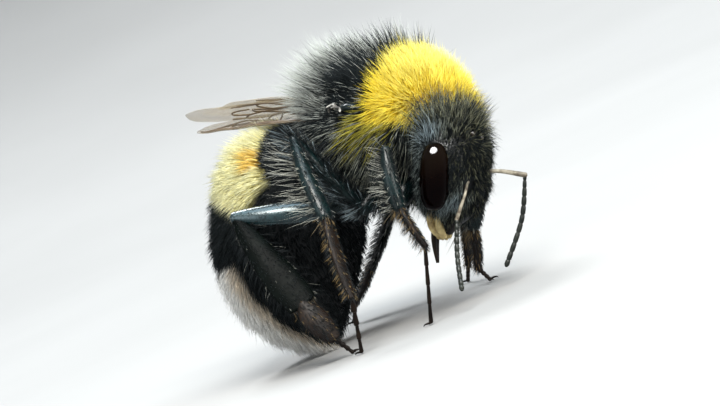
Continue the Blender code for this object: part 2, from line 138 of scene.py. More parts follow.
# The coat of each part, as what its plain coat has and what each region adds: the share of long guard
# hairs, how far hairs stand up and lie over, their length in millimetres and the chance of a pale tip.
# A loss is the share of the length that goes, and dark_tip is how much lighter a dark hair ends
THORAX_COAT = {
    "guard_share": {"plain": 0.28, "crest": 0.25},
    "lie_back": {"plain": 0.42, "collar": -0.35, "crest": -0.25, "straggle": 0.25},
    "lie_down": {"plain": 0.10, "collar": 0.65, "side": 0.55, "straggle": 0.3},
    "stand": {"plain": 0.85, "collar": -0.36, "side": -0.2, "crest": 0.15},
    "locks": {"plain": 1.0, "collar": -0.55, "side": 0.5},
    "length": {"plain": 0.78, "side": 0.10, "crest": 0.05, "long": 1.0},
    "guard_length": {"plain": 0.22, "crest": 0.98, "side": 0.28},
    "collar_length": {"plain": 0.0, "collar_top": 0.10, "guard": -0.08},
    "straggle_length": 0.25,
    "haze_length": 0.42,
    "wing_root_loss": 0.62,
    "dark_tip": 1.7,
    # The grey tips on the rear and top are painted backlight shining through the hairs
    "pale_chance": {"plain": 0.03, "grey": 1.0, "side": 0.24, "guard": 0.05, "haze": 0.32},
    "backlit_chance": {"plain": 0.72, "guard": 0.25},
    "olive_chance": 0.6,
}
HEAD_COAT = {
    "guard_share": {"plain": 0.25, "crown": 0.3},
    "start_stand": {"plain": 0.75, "crown": 0.35, "over_eye": -0.4},
    "start_down": {"plain": 0.45, "crown": -0.55, "over_eye": -1.1},
    "end_stand": {"plain": 0.35, "crown": 0.5, "over_eye": -0.3},
    "end_down": {"plain": 0.9, "crown": -1.15, "over_eye": -1.5},
    "length": {
        "plain": 0.34, "crown": 0.32, "long": 1.0, "beard": 0.14, "brow": -0.10, "over_eye": -0.12,
    },
    "guard_length": {"plain": 0.10, "crown": 0.36},
    "ocelli_loss": 0.72,
    "dark_tip": 1.7,
    # On the brow and cheeks the pale tips are a painted bluish sheen
    "pale_chance": {"plain": 0.15, "crown": 0.22, "beard": 0.75, "brow": 0.85, "cheek": 0.22},
}
ABDOMEN_COAT = {
    "start_stand": {"plain": 0.75, "shoulder": 0.3},
    "end_stand": {"plain": 0.30, "shoulder": 0.5},
    "length": {
        "plain": 0.66, "waist": 0.15, "belly": -0.25, "white": 0.08, "guard": 0.14, "shoulder": 0.32,
    },
    "dark_loss": 0.45,
    "dark_tip": 1.6,
}
LEG_COAT = {
    "guard_share": {"plain": 0.15, "rear": 0.55},
    "start_stand": {"plain": 0.7, "rear": -0.35},
    "end_stand": {"plain": 0.25, "rear": -0.2},
    "locks": {"plain": 0.15, "free": 0.30},
    "fineness": {"free": -0.12, "on_foot": -0.12},
    "dark_tip": 1.6,
}
# Regions that fade out all round, as (middle, width): by height, aside and ahead on the head, by share
# of the length on the abdomen, and by the way off from a small eye
FACE_PLATE = ((-1.0, 0.38), (0.0, 0.42))
BROW = ((0.80, 0.24), (1.15, 0.30), (-0.15, 0.45))
OVER_EYE = ((0.75, 0.42), (1.20, 0.45), (0.1, 0.6))
BEARD = ((-0.95, 0.45), (1.00, 0.30))
ABDOMEN_SHOULDER = ((0.24, 0.08),)
OCELLUS_LOW_COAT = ((0.0, 0.36),)
COAT_SLOTS = {"coat_collar": "coat_yellow", "coat_band": "coat_yellow", "coat_tail": "coat_white"}
# Bare places: the small eyes, the scapes and the mouth, and those along each wing's root
OCELLUS_CLEARING = 0.16
SCAPE_CLEARING = 0.21
MOUTH_TOP = -1.46
MOUTH_HALF_WIDTH = 0.40
WING_ROOT_GAPS = (0.25, -0.25, -0.75)
# Each hair's patch on the coat's baked picture, and the rim that the picture leaves free
BAKE_PATCH = 0.003
BAKE_MARGIN = 0.03

# Feelers and small eyes, in the head's own frame (forward, left, up)
SCAPES = {
    "left": ((0.80, 0.28, -0.15), (1.50, 0.60, -0.15), (2.15, 0.90, -0.25)),
    "right": (
        (0.86, -0.80, -0.50), (0.865, -0.98, -0.85), (0.79, -1.10, -1.20), (0.69, -1.22, -1.64),
    ),
}
SCAPE_RADII = (0.072, 0.060, 0.072, 0.085)
SCAPE_KNOB = 0.10
SCAPE_SLENDER = {"left": 1.0, "right": 0.72}
FLAGELLA = {
    "left": ((2.15, 0.90, -0.25), (2.05, 0.98, -1.60), (1.62, 0.85, -3.05)),
    "right": ((0.69, -1.22, -1.64), (0.80, -1.42, -2.72), (1.10, -1.80, -3.75)),
}
FLAGELLUM_SEGMENTS = 11
FLAGELLUM_RADIUS = 0.056
FLAGELLUM_SWELL = 0.024
# Along one ring: the share of its length, and its breadth there
FLAGELLUM_RING = ((0.02, 0.72), (0.14, 0.95), (0.5, 1.0), (0.86, 0.98), (0.98, 0.74))
OCELLI = ((1.00, 0.0, 0.86), (0.88, -0.46, 0.98), (0.88, 0.46, 0.98))
OCELLUS_RADIUS = 0.10

# Mouth: forward, outward and up for the jaws and the tongue, forward, left and up for the lip
JAW_PATH = ((-0.22, 0.64, -1.32), (-0.26, 0.58, -1.66), (-0.22, 0.44, -1.95), (-0.14, 0.24, -2.18))
JAW_RIDGES = (
    # which way of the jaw's middle, half the breadth and half the thickness along it
    (1, ((0.13, 0.11), (0.17, 0.13), (0.15, 0.12), (0.05, 0.05))),
    (-1, ((0.11, 0.10), (0.15, 0.12), (0.16, 0.13), (0.07, 0.07))),
)
JAW_SPLIT = (0.02, 0.105, 0.0)
JAW_TOOTH = ((0.12, 0.16), (0.11, 0.15), (0.05, 0.06))
LIP_PATH = ((0.16, 0, -1.50), (0.12, 0, -1.80), (0.04, 0, -2.04))
LIP_SIZES = ((0.46, 0.20), (0.42, 0.17), (0.24, 0.10))
TONGUE_PATH = ((-0.35, 0.13, -1.45), (-0.42, 0.13, -2.25), (-0.33, 0.07, -2.98))
TONGUE_STRANDS = ((-1, 0.12), (1, 0.12), (0, 0.07))

# Wings, flat in the body frame and pointing backwards
WING_ROOT = (-0.15, 1.9, 0.55)
WING_PAIRS = (
    # name, side, degrees inwards, level above the root
    ("right", -1, 13.0, 0.0),
    ("left", 1, 1.0, 0.535),
)
FOREWING_LENGTH = 9.3
FOREWING_WIDTHS = (
    # share of the length, reach to the outer edge, reach to the inner edge
    (0.00, 0.25, 0.25),
    (0.12, 0.30, 0.50),
    (0.28, 0.32, 0.95),
    (0.45, 0.32, 1.50),
    (0.62, 0.34, 2.15),
    (0.76, 0.36, 2.45),
    (0.87, 0.25, 2.30),
    (0.95, -0.15, 1.80),
    (1.00, -0.75, 1.10),
)
HINDWING_START = 0.11
HINDWING_END = 0.72
HINDWING_WIDTHS = (0.40, 0.75, 1.10, 1.35, 1.45, 1.25, 0.75, 0.25)
HINDWING_OVERLAP = 0.04
HINDWING_DROP = 0.06
MEMBRANE_THICK = 0.024
# For each side, how steep the wing's roof is and how far its tip droops
WING_SLOPES = {-1: (0.32, 0.05), 1: (0.16, 0.34)}
# Veins: points as (share along, share from the outer to the inner edge), radius at start and at end
FOREWING_VEINS = (
    (((0.00, 0.35), (0.20, 0.10), (0.45, 0.03), (0.66, 0.02), (0.80, 0.03), (0.90, 0.06)), 0.060, 0.030),
    (((0.00, 0.50), (0.20, 0.24), (0.40, 0.13), (0.58, 0.09), (0.66, 0.03)), 0.060, 0.040),
    (((0.00, 0.62), (0.15, 0.50), (0.30, 0.42), (0.45, 0.40), (0.60, 0.47), (0.70, 0.50)), 0.050, 0.030),
    (((0.00, 0.85), (0.15, 0.86), (0.32, 0.88), (0.50, 0.90), (0.60, 0.93)), 0.045, 0.028),
    (((0.30, 0.42), (0.36, 0.62), (0.40, 0.88)), 0.032, 0.030),
    (((0.40, 0.13), (0.46, 0.27), (0.47, 0.40)), 0.034, 0.030),
    (((0.47, 0.29), (0.58, 0.27), (0.70, 0.26), (0.79, 0.22), (0.84, 0.10), (0.86, 0.05)), 0.032, 0.026),
    (((0.66, 0.03), (0.70, 0.12), (0.73, 0.25)), 0.034, 0.028),
    (((0.60, 0.27), (0.60, 0.38), (0.61, 0.47)), 0.028, 0.026),
    (((0.72, 0.26), (0.73, 0.38), (0.71, 0.50)), 0.028, 0.026),
    (((0.79, 0.22), (0.82, 0.36), (0.80, 0.50), (0.72, 0.52)), 0.028, 0.024),
    (((0.50, 0.41), (0.56, 0.60), (0.62, 0.72)), 0.028, 0.024),
    (((0.62, 0.47), (0.66, 0.62), (0.62, 0.72), (0.50, 0.76), (0.40, 0.74)), 0.028, 0.022),
)
HINDWING_VEINS = (
    (((0.13, 0.12), (0.30, 0.06), (0.50, 0.06), (0.68, 0.10)), 0.045, 0.024),
    (((0.13, 0.40), (0.28, 0.35), (0.42, 0.30), (0.55, 0.34), (0.64, 0.40)), 0.038, 0.020),
    (((0.14, 0.62), (0.28, 0.66), (0.42, 0.72), (0.52, 0.80)), 0.032, 0.018),
    (((0.38, 0.06), (0.41, 0.18), (0.42, 0.30)), 0.026, 0.022),
    (((0.34, 0.33), (0.35, 0.50), (0.36, 0.69)), 0.024, 0.020),
)
TEGULA_HALF_SIZES = (0.30, 0.38, 0.17)
WING_ROOT_LUMPS = 12

# Legs: knee, end of the shin, heel (forward, outward, up) and the foot on the floor, from the
# thorax's place on the floor
COXAE = {"front": (1.10, 0.80, -1.70), "mid": (0.20, 0.80, -1.75), "hind": (-0.95, 0.80, -1.75)}
HIPS = {"front": (1.30, 1.50, -2.40), "mid": (0.05, 1.70, -2.45), "hind": (-1.50, 1.60, -2.45)}
LEGS = {
    "front_right": ((2.16, 3.00, -0.77), (2.53, 2.95, -2.49), (3.36, 2.75, -3.75), (-3.65, -1.50)),
    "mid_right": ((-1.33, 3.30, -0.27), (0.21, 3.70, -2.68), (1.32, 3.90, -5.20), (-4.90, 0.50)),
    "hind_right": ((-3.84, 3.40, -2.57), (-1.45, 3.10, -5.35), (-0.50, 2.75, -6.45), (-4.30, 1.45)),
    "front_left": ((1.12, 2.50, -1.48), (0.66, 2.80, -3.14), (0.55, 3.05, -4.50), (1.50, 0.30)),
    "mid_left": ((-0.90, 3.40, -0.80), (-0.70, 4.00, -3.00), (-0.90, 4.30, -4.35), (3.00, 2.60)),
    "hind_left": ((-3.20, 3.45, -2.10), (-4.60, 3.90, -4.20), (-5.60, 4.10, -5.40), (2.30, 7.40)),
}
# Half the breadth and half the thickness along each length of a leg
LIMB_SIZES = {
    "coxa": ((0.40, 0.40), (0.42, 0.38), (0.26, 0.26)),
    "femur": ((0.17, 0.17), (0.30, 0.22), (0.27, 0.20), (0.15, 0.15)),
    "tibia": ((0.14, 0.14), (0.23, 0.21), (0.28, 0.24), (0.27, 0.21)),
    "basitarsus": ((0.15, 0.13), (0.24, 0.13), (0.23, 0.12), (0.15, 0.10)),
}
# The same for the hind legs, whose shins are broad and flat
HIND_SIZES = {
    "femur": ((0.20, 0.20), (0.36, 0.27), (0.33, 0.25), (0.19, 0.18)),
    "tibia": ((0.14, 0.13), (0.34, 0.16), (0.47, 0.16), (0.56, 0.14), (0.50, 0.10)),
    "basitarsus": ((0.22, 0.12), (0.40, 0.13), (0.38, 0.12), (0.22, 0.10)),
}
TARSOMERES = 4
# Claws as (ahead, aside, down) from the end of the foot, the pad between them, and the shin's spur
CLAW_PATH = ((0, 0, 0), (0.10, 0.09, -0.015), (0.21, 0.12, 0.0), (0.26, 0.11, 0.045))
CLAW_SIZES = ((0.034, 0.034), (0.030, 0.030), (0.018, 0.018), (0.005, 0.005))
CLAW_PAD = (0.055, 0.06, 0.04)
SPUR_SIZES = ((0.035, 0.035), (0.028, 0.028), (0.006, 0.006))
# Hair on each length of a leg: how many, how long, what the fringe adds, and the share of pale tips
LEG_HAIR = {
    ("coxa", "front"): (260, 0.40, 0.10, 0.15),
    ("coxa", "mid"): (560, 0.50, 0.15, 1.00),
    ("coxa", "hind"): (260, 0.40, 0.10, 0.15),
    ("femur", "front"): (420, 0.24, 0.30, 0.25),
    ("femur", "mid"): (900, 0.52, 0.45, 0.65),
    ("femur", "hind"): (240, 0.14, 0.20, 0.10),
    ("tibia", "front"): (620, 0.20, 0.45, 0.45),
    ("tibia", "mid"): (640, 0.22, 1.10, 0.66),
    ("tibia", "hind"): (900, 0.16, 0.50, 0.10),
    ("basitarsus", "front"): (560, 0.20, 0.16, 0.34),
    ("basitarsus", "mid"): (560, 0.20, 0.16, 0.34),
    ("basitarsus", "hind"): (560, 0.20, 0.16, 0.15),
}
FLOOR_CLEARANCE = 0.015

# The studio and the camera, round the thorax
CAMERA_AZIMUTH = -46.0
CAMERA_ELEVATION = 4.0
CAMERA_ROLL = 24.0
CAMERA_DISTANCE = 140.0
FRAME_OFFSET = (1.094, 2.344)
SENSOR = 36.0
LENS = 224.0
CLIP_START = 1
CLIP_END = 4000
STUDIO_LIGHTS = (
    # name, direction as right, up and towards the camera, distance, width, height, watts, colour
    ("key", (-0.12, 0.72, 0.68), 150, 100, 60, 0.30, (1.0, 0.98, 0.94)),
    ("side", (0.70, 0.45, 0.55), 190, 140, 140, 0.22, (1.0, 0.97, 0.92)),
    ("fill", (-0.75, 0.05, 0.65), 190, 160, 160, 0.10, (0.90, 0.96, 1.0)),
    ("rim", (-0.45, 0.75, -0.65), 170, 80, 80, 0.24, (0.95, 0.98, 1.0)),
    ("sky", (-0.05, 0.96, 0.22), 190, 240, 120, 0.20, (0.72, 0.88, 1.0)),
)
EYE_LIGHT = ("eye_light", (-0.14, 0.79, 0.59), 150, 180, 98, 6.6, (1.0, 1.0, 1.0))
SKY_COLOUR = (0.93, 0.96, 1.0)
SKY_STRENGTH = 0.30
FLOOR_SIDES = 96
FLOOR_RADIUS = 620.0
FLAT_RADIUS = 60.0
WALL_HEIGHT = 330.0
WALL_STEPS = 24


def rotation(axis, degrees):
    """A rotation matrix as an array."""
    return np.array(Matrix.Rotation(math.radians(degrees), 3, axis))


def turned(pitch, bank, turn=0.0):
    """Pitch lowers the front, bank lowers the left side, turn swings the front to the left."""
    return rotation("Z", turn) @ rotation("X", pitch) @ rotation("Y", bank)


def own(place):
    """Forward, left and up turned into the frame's x, y and z."""
    forward, left, up = place
    return np.array((left, -forward, up), float)


def node_centre(name):
    """The middle of a frame node's box, in millimetres."""
    low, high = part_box(name)
    return np.array((low + high) / 2) / MM


BODY = turned(BODY_PITCH, BODY_BANK)
HEAD = turned(HEAD_PITCH, 0.0, HEAD_TURN)
RIGHT_EYE = (EYE_PLACE[0], -EYE_PLACE[1], EYE_PLACE[2])
THORAX_CENTRE = node_centre("eye_right") - BODY @ (own(HEAD_PLACE) + HEAD @ own(RIGHT_EYE))


def in_head(place):
    """A place of the head's own frame, given as forward, left and up, in the body frame."""
    return own(HEAD_PLACE) + HEAD @ own(place)


def to_world(points):
    """Body frame millimetres to world metres, for rows of points."""
    return (np.asarray(points, float) @ BODY.T + THORAX_CENTRE) * MM


def from_floor(point):
    """A place on the floor under the unmoved thorax, in the body frame."""
    x, y, z = point
    world = np.array((THORAX_CENTRE[0] + x, THORAX_CENTRE[1] + y, z), float)
    return BODY.T @ (world - THORAX_CENTRE)


def unit(vectors):
    """Vectors brought to a length of one."""
    vectors = np.asarray(vectors, float)
    length = np.linalg.norm(vectors, axis=-1, keepdims=True)
    return vectors / np.maximum(length, 1e-9)


def spline(stations, shares):
    """Smooth values along equal-length stations, for an array of shares from 0 to 1."""
    table = np.asarray(stations, float)
    last = len(table) - 1
    place = np.clip(np.asarray(shares, float), 0.0, 1.0) * last
    i = np.minimum(place.astype(int), last - 1)
    f = (place - i)[..., None]
    before, start = table[np.maximum(i - 1, 0)], table[i]
    end, after = table[i + 1], table[np.minimum(i + 2, last)]
    square = 2 * before - 5 * start + 4 * end - after
    cube = 3 * start - before - 3 * end + after
    return 0.5 * (2 * start + (end - before) * f + square * f**2 + cube * f**3)


def ease(low, high, value):
    """0 below low, 1 above high and a smooth step between."""
    t = np.clip((np.asarray(value, float) - low) / (high - low), 0.0, 1.0)
    return t * t * (3 - 2 * t)


def mound(places, shape):
    """1 in the middle of a region, fading out by its (middle, width) in each direction."""
    return np.exp(-sum(((place - middle) / width) ** 2 for place, (middle, width) in zip(places, shape)))


def by_region(amounts, regions):
    """An amount for every hair: the plain coat's, and what each region adds by its share."""
    total = amounts["plain"]
    for region, added in amounts.items():
        if region != "plain":
            total = total + added * regions[region]
    return total


def mixed(first, second, share):
    """Rows of colours between two colours."""
    share = np.asarray(share, float)[..., None]
    return np.asarray(first, float) * (1 - share) + np.asarray(second, float) * share


# ---------------------------------------------------------------- grids of points


def ovals(centres, across, upright, widths, above, below, count):
    """A grid of points: one oval ring for each row."""
    angle = 2 * np.pi * np.arange(count) / count
    cos, sin = np.cos(angle), np.sin(angle)
    widths, above, below = (np.asarray(v, float)[:, None] for v in (widths, above, below))
    reach = np.where(sin > 0, above, below) * sin
    sideways = across[:, None] * (widths * cos)[..., None]
    return centres[:, None] + sideways + upright[:, None] * reach[..., None]


def thorax_grid(rows=64, count=96):
    """The thorax from front to back, as a round body with squared ends."""
    share = -np.cos(np.pi * (np.arange(rows) + 0.5) / rows)
    full = (1 - np.abs(share) ** THORAX_FULLNESS) ** (1 / THORAX_FULLNESS)
    centres = np.zeros((rows, 3))
    centres[:, 1] = share * THORAX_HALF_LENGTH
    across, upright = np.tile((1.0, 0, 0), (rows, 1)), np.tile((0, 0, 1.0), (rows, 1))
    above, below = THORAX_TOP * full, THORAX_BOTTOM * full
    return ovals(centres, across, upright, THORAX_HALF_WIDTH * full, above, below, count)


def head_grid(rows=64, count=96):
    """The head capsule from its crown to the mouth, with a raised shield and two feeler sockets."""
    height, half_width, front, back = spline(HEAD_STATIONS, np.linspace(0, 1, rows)).T
    centres = np.zeros((rows, 3))
    centres[:, 2] = height
    across, ahead = np.tile((1.0, 0, 0), (rows, 1)), np.tile((0, -1.0, 0), (rows, 1))
    grid = ovals(centres, across, ahead, half_width, front, back, count)
    aside, level = np.abs(grid[..., 0]), grid[..., 2]
    grid[..., 1] -= SHIELD_RISE * mound((level, aside), SHIELD) * (grid[..., 1] < 0)
    grid[..., 1] += SOCKET_DEPTH * mound((level, aside), SOCKET) * (grid[..., 1] < 0)
    return grid @ HEAD.T + own(HEAD_PLACE)


def abdomen_grid(rows=110, count=110):
    """The abdomen along its bent middle line, each segment's rim a little over the next one."""
    shares = np.linspace(0, 1, rows)
    back, up, half_width, above, below = spline(ABDOMEN_STATIONS, shares).T
    step = 0.01
    before = spline(ABDOMEN_STATIONS, shares - step)[:, :2]
    after = spline(ABDOMEN_STATIONS, shares + step)[:, :2]
    along = np.zeros((rows, 3))
    along[:, 1:] = after - before
    along = unit(along)
    across = np.tile((1.0, 0, 0), (rows, 1))
    upright = np.cross(across, along)
    ends = np.array(ABDOMEN_ENDS)
    segment = np.clip(np.searchsorted(ends, shares, side="right") - 1, 0, len(ends) - 2)
    within = (shares - ends[segment]) / (ends[segment + 1] - ends[segment])
    rim = SEGMENT_STEP * (within - 0.5) * ease(0.0, 0.1, 1 - shares)
    centres = np.zeros((rows, 3))
    centres[:, 1], centres[:, 2] = back, up
    reaches = (
        np.maximum(reach - depth + rim, LEAST_REACH)
        for reach, depth in (
            (half_width, ABDOMEN_COAT_DEPTH), (above, ABDOMEN_COAT_DEPTH), (below, ABDOMEN_BELLY_DEPTH),
        )
    )
    return ovals(centres, across, upright, *reaches, count)


def ball_grid(centre, axes, sizes, rows=24, count=32, fullness=2.0):
    """An ellipsoid whose poles lie along the third of its axes; a fullness above 2 squares its ends."""
    tilt = np.pi * (np.arange(rows) + 0.5) / rows
    share = np.sign(np.cos(tilt)) * np.abs(np.cos(tilt)) ** (2 / fullness)
    full = np.sin(tilt) ** (2 / fullness)
    centres = np.asarray(centre, float) + share[:, None] * sizes[2] * axes[2]
    across, ahead = np.tile(axes[0], (rows, 1)), np.tile(axes[1], (rows, 1))
    reach = sizes[1] * full
    return ovals(centres, across, ahead, sizes[0] * full, reach, reach, count)


def limb_grid(path, sizes, flat, rows=24, count=18, spaced=None):
    """Rings round a smooth path, rounded off at its ends; flat is the way in which it is broad."""
    shares = np.linspace(0, 1, rows) if spaced is None else np.asarray(spaced, float)
    centres = spline(path, shares)
    step = 0.02
    along = unit(spline(path, shares + step) - spline(path, shares - step))
    wide = unit(flat - along * (along @ flat)[:, None])
    thin = np.cross(along, wide)
    breadth, thick = spline(sizes, shares).T
    grid = ovals(centres, wide, thin, breadth, thick, thick, count)
    cap = np.array((0.0, 0.35, 0.65, 0.88))
    rounds = np.sqrt(1 - (1 - cap) ** 2) * 0.98 + 0.02

    def end_cap(row, out):
        """Rings that narrow beyond the first or the last row."""
        middle, way = centres[row], out * along[row]
        return np.array([
            (grid[row] - middle) * shrink + middle + way * thick[row] * (1 - share)
            for share, shrink in zip(cap, rounds)
        ])

    return np.concatenate([end_cap(0, -1), grid, end_cap(-1, 1)[::-1]])


def grid_faces(rows, count, start=0):
    """Quads between the rows and one face over each end."""
    faces = []
    last = start + (rows - 1) * count
    for low in range(start, last, count):
        high = low + count
        for j in range(count):
            k = (j + 1) % count
            faces.append((low + j, low + k, high + k, high + j))
    faces.append(tuple(start + j for j in reversed(range(count))))
    faces.append(tuple(last + j for j in range(count)))
    return faces


def outward_mesh(name, points, faces):
    """A mesh with all its faces turned outwards."""
    mesh = bpy.data.meshes.new(name)
    mesh.from_pydata(points.tolist(), [], faces)
    build = bmesh.new()
    build.from_mesh(mesh)
    bmesh.ops.recalc_face_normals(build, faces=build.faces)
    build.to_mesh(mesh)
    build.free()
    return mesh


def paint(mesh, tints):
    """Give each point of a mesh its own colour, which the coat's and the skin's finishes show."""
    rgba = np.concatenate([tints, np.ones((len(tints), 1))], axis=1)
    mesh.color_attributes.new(name="coat_colour", type="FLOAT_COLOR", domain="POINT")
    mesh.color_attributes["coat_colour"].data.foreach_set("color", rgba.astype(np.float32).ravel())


def joined(grids):
    """Points and faces of several closed grids as one mesh."""
    points, faces, start = [], [], 0
    for grid in grids:
        rows, count = grid.shape[:2]
        points.append(grid.reshape(-1, 3))
        faces.extend(grid_faces(rows, count, start))
        start += rows * count
    return np.concatenate(points), faces


def add_object(name, mesh, surface):
    """A mesh set into the scene in one finish."""
    made = bpy.data.objects.new(name, mesh)
    mesh.materials.append(surface)
    bpy.context.scene.collection.objects.link(made)
    return made


def dress(piece, slot, *nodes):
    """The piece rides on the bee and stands for frame nodes; the slot is not used."""
    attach(piece, "root")
    if nodes:
        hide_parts(*nodes)


def add_piece(name, grids, finish, slot, *nodes, sharp=None):
    """A dressed piece of closed grids in the body frame, with edges kept above the sharp angle."""
    points, faces = joined(grids)
    mesh = outward_mesh(name, to_world(points), faces)
    mesh.shade_smooth()
    if sharp:
        mesh.set_sharp_from_angle(angle=math.radians(sharp))
    dress(add_object(name, mesh, finishes()[finish]), slot, *nodes)


# ---------------------------------------------------------------- finishes


class Finish:
    """A Principled material with short ways to add its nodes."""

    def __init__(self, name, colour, roughness, **sockets):
        """Start from one colour and roughness; sockets are named with _ for each space."""
        self.made = bpy.data.materials.new(name)
        self.made.use_nodes = True
        self.tree = self.made.node_tree
        self.shader = self.tree.nodes["Principled BSDF"]
        self.shader.inputs["Base Color"].default_value = (*colour, 1.0)
        self.shader.inputs["Roughness"].default_value = roughness
        for socket, value in sockets.items():
            self.shader.inputs[socket.replace("_", " ")].default_value = value

    def node(self, kind, **values):
        """A node with its sockets or its settings filled in."""
        made = self.tree.nodes.new(kind)
        for key, value in values.items():
            if key in made.inputs:
                made.inputs[key].default_value = value
            else:
                setattr(made, key, value)
        return made

    def link(self, source, target):
        """Join an output to an input."""
        self.tree.links.new(source, target)

    def place(self):
        """Object coordinates in millimetres."""
        coordinates = self.node("ShaderNodeTexCoord")
        scaled = self.node("ShaderNodeVectorMath", operation="SCALE", Scale=1 / MM)
        self.link(coordinates.outputs["Object"], scaled.inputs[0])
        return scaled.outputs["Vector"]

    def noise(self, scale, detail=3.0):
        """Cloudy values; the scale is how many clouds there are to a millimetre."""
        made = self.node("ShaderNodeTexNoise", Scale=scale, Detail=detail)
        self.link(self.place(), made.inputs["Vector"])
        return made.outputs["Fac"]

    def cells(self, scale):
        """Round dimples; the scale is how many there are to a millimetre."""
        made = self.node("ShaderNodeTexVoronoi", Scale=scale, feature="F1")
        self.link(self.place(), made.inputs["Vector"])
        return made.outputs["Distance"]

    def height(self):
        """From 0 at the foot of the piece to 1 at its top."""
        coordinates = self.node("ShaderNodeTexCoord")
        parts = self.node("ShaderNodeSeparateXYZ")
        self.link(coordinates.outputs["Generated"], parts.inputs["Vector"])
        return parts.outputs["Z"]

    def ramp(self, source, *stops):
        """Colours along a value, from stops of (position, colour)."""
        made = self.node("ShaderNodeValToRGB")
        elements = made.color_ramp.elements
        while len(elements) < len(stops):
            elements.new(0.5)
        for element, (position, colour) in zip(elements, stops):
            element.position = position
            element.color = (*colour, 1.0)
        self.link(source, made.inputs["Fac"])
        return made.outputs["Color"]

    def colour(self, source):
        """Take the base colour from a node."""
        self.link(source, self.shader.inputs["Base Color"])

    def patchy_own_colour(self, scale, darkest):
        """Take the base colour from the mesh's points, darker in patches."""
        points = self.node("ShaderNodeAttribute", attribute_name="coat_colour")
        patches = self.ramp(self.noise(scale), (0.3, (darkest,) * 3), (0.7, (1.0, 1.0, 1.0)))
        product = self.node("ShaderNodeMix", data_type="RGBA", blend_type="MULTIPLY")
        product.inputs["Factor"].default_value = 1.0
        self.link(points.outputs["Color"], product.inputs["A"])
        self.link(patches, product.inputs["B"])
        self.colour(product.outputs["Result"])

    def roughness(self, source, low, high):
        """Let the roughness go from low to high with a value."""
        made = self.node("ShaderNodeMapRange")
        made.inputs["To Min"].default_value = low
        made.inputs["To Max"].default_value = high
        self.link(source, made.inputs["Value"])
        self.link(made.outputs["Result"], self.shader.inputs["Roughness"])

    def bump(self, source, depth, strength):
        """Relief whose full height is the given depth in millimetres."""
        made = self.node("ShaderNodeBump", Strength=strength, Distance=depth * MM)
        self.link(source, made.inputs["Height"])
        self.link(made.outputs["Normal"], self.shader.inputs["Normal"])


def coat_finish(name, roughness, specular):
    """Hair: each hair's own colour, a little uneven along the coat, with a soft gloss."""
    finish = Finish(name, (0.1, 0.1, 0.1), roughness, Specular_IOR_Level=specular)
    finish.patchy_own_colour(1.7, 0.82)
    finish.roughness(finish.noise(6.0), roughness - 0.08, roughness + 0.1)


def skin_finish():
    """The hard skin under the coat, with the coat's markings and fine pits."""
    finish = Finish("bee_skin", (0.02, 0.02, 0.02), 0.35, Specular_IOR_Level=0.5)
    finish.patchy_own_colour(3.0, 0.7)
    finish.roughness(finish.noise(9.0), 0.26, 0.46)
    finish.bump(finish.cells(16.0), 0.02, 0.6)


def shell_finish(name, colour, tint, roughness, grain=14.0, depth=0.012, patches=2.2, **sockets):
    """Shining shell: uneven tint, fine leathery relief and patchy gloss."""
    finish = Finish(name, colour, roughness, **sockets)
    finish.colour(finish.ramp(finish.noise(patches), (0.32, colour), (0.72, tint)))
    finish.roughness(finish.noise(7.0), roughness - 0.07, roughness + 0.12)
    finish.bump(finish.noise(grain, 5.0), depth, 0.7)


def eye_finish():
    """A dark glossy eye, painted browner towards its top as a sheen of the light from above, with rows
    of tiny facets.
    """
    finish = Finish("eye_facets", (0.006, 0.003, 0.002), 0.07, Specular_IOR_Level=0.10)
    # Painted sheen: near black at the foot of the eye, rising to brown at its top
    finish.colour(finish.ramp(
        finish.height(),
        (0.30, (0.002, 0.0003, 0.0003)), (0.50, (0.005, 0.0015, 0.001)), (0.85, (0.022, 0.013, 0.008)),
    ))
    finish.bump(finish.cells(30.0), 0.0015, 0.3)


def membrane_finish():
    """Wing skin: clear, brown-tinted and finely wrinkled."""
    finish = Finish(
        "wing_membrane", (0.55, 0.46, 0.33), 0.22, Specular_IOR_Level=0.6, Alpha=0.42, IOR=1.5,
        Thin_Film_Thickness=260.0, Thin_Film_IOR=1.4,
    )
    finish.colour(finish.ramp(finish.noise(0.8), (0.3, (0.54, 0.45, 0.31)), (0.7, (0.64, 0.56, 0.42))))
    finish.bump(finish.noise(5.0, 6.0), 0.03, 0.8)


def shell_finishes():
    """The shells of the legs, the jaws, the feelers, the wing roots and the small eyes."""
    # The black shells of the legs and thighs carry a teal tint, a painted sheen of the bluish sky
    shell_finish(
        "leg_shell", (0.002, 0.007, 0.007), (0.005, 0.018, 0.019), 0.26,
        Specular_IOR_Level=0.42,
    )
    shell_finish(
        "thigh_shell", (0.004, 0.013, 0.015), (0.010, 0.036, 0.040), 0.24,
        depth=0.006, Specular_IOR_Level=1.0, Specular_Tint=(0.78, 0.95, 1.0, 1.0),
        Coat_Weight=0.9, Coat_Roughness=0.22,
    )
    shell_finish(
        "basket_shell", (0.0012, 0.002, 0.0016), (0.003, 0.005, 0.004), 0.38,
        grain=9.0, Specular_IOR_Level=0.05,
    )
    shell_finish(
        "foot_shell", (0.005, 0.0035, 0.003), (0.020, 0.011, 0.006), 0.40,
        Specular_IOR_Level=0.2,
    )
    shell_finish(
        "jaw_shell", (0.16, 0.10, 0.03), (0.74, 0.60, 0.28), 0.34,
        grain=9.0, depth=0.03, patches=2.8,
    )
    # The cream patches on the wing roots are partly the pale lumps themselves and partly painted glints
    shell_finish(
        "wing_root_shell", (0.02, 0.016, 0.012), (0.85, 0.82, 0.74), 0.22,
        patches=3.4, Specular_IOR_Level=0.8,
    )
    shell_finish("wing_vein", (0.075, 0.045, 0.024), (0.17, 0.11, 0.06), 0.38)
    shell_finish("feeler_shell", (0.006, 0.009, 0.007), (0.020, 0.024, 0.017), 0.32, grain=28.0)
    shell_finish("feeler_dusty", (0.07, 0.05, 0.03), (0.46, 0.42, 0.32), 0.40, grain=22.0, patches=4.5)
    shell_finish(
        "ocellus_shell", (0.008, 0.006, 0.005), (0.03, 0.02, 0.012), 0.12,
        Specular_IOR_Level=1.0,
    )


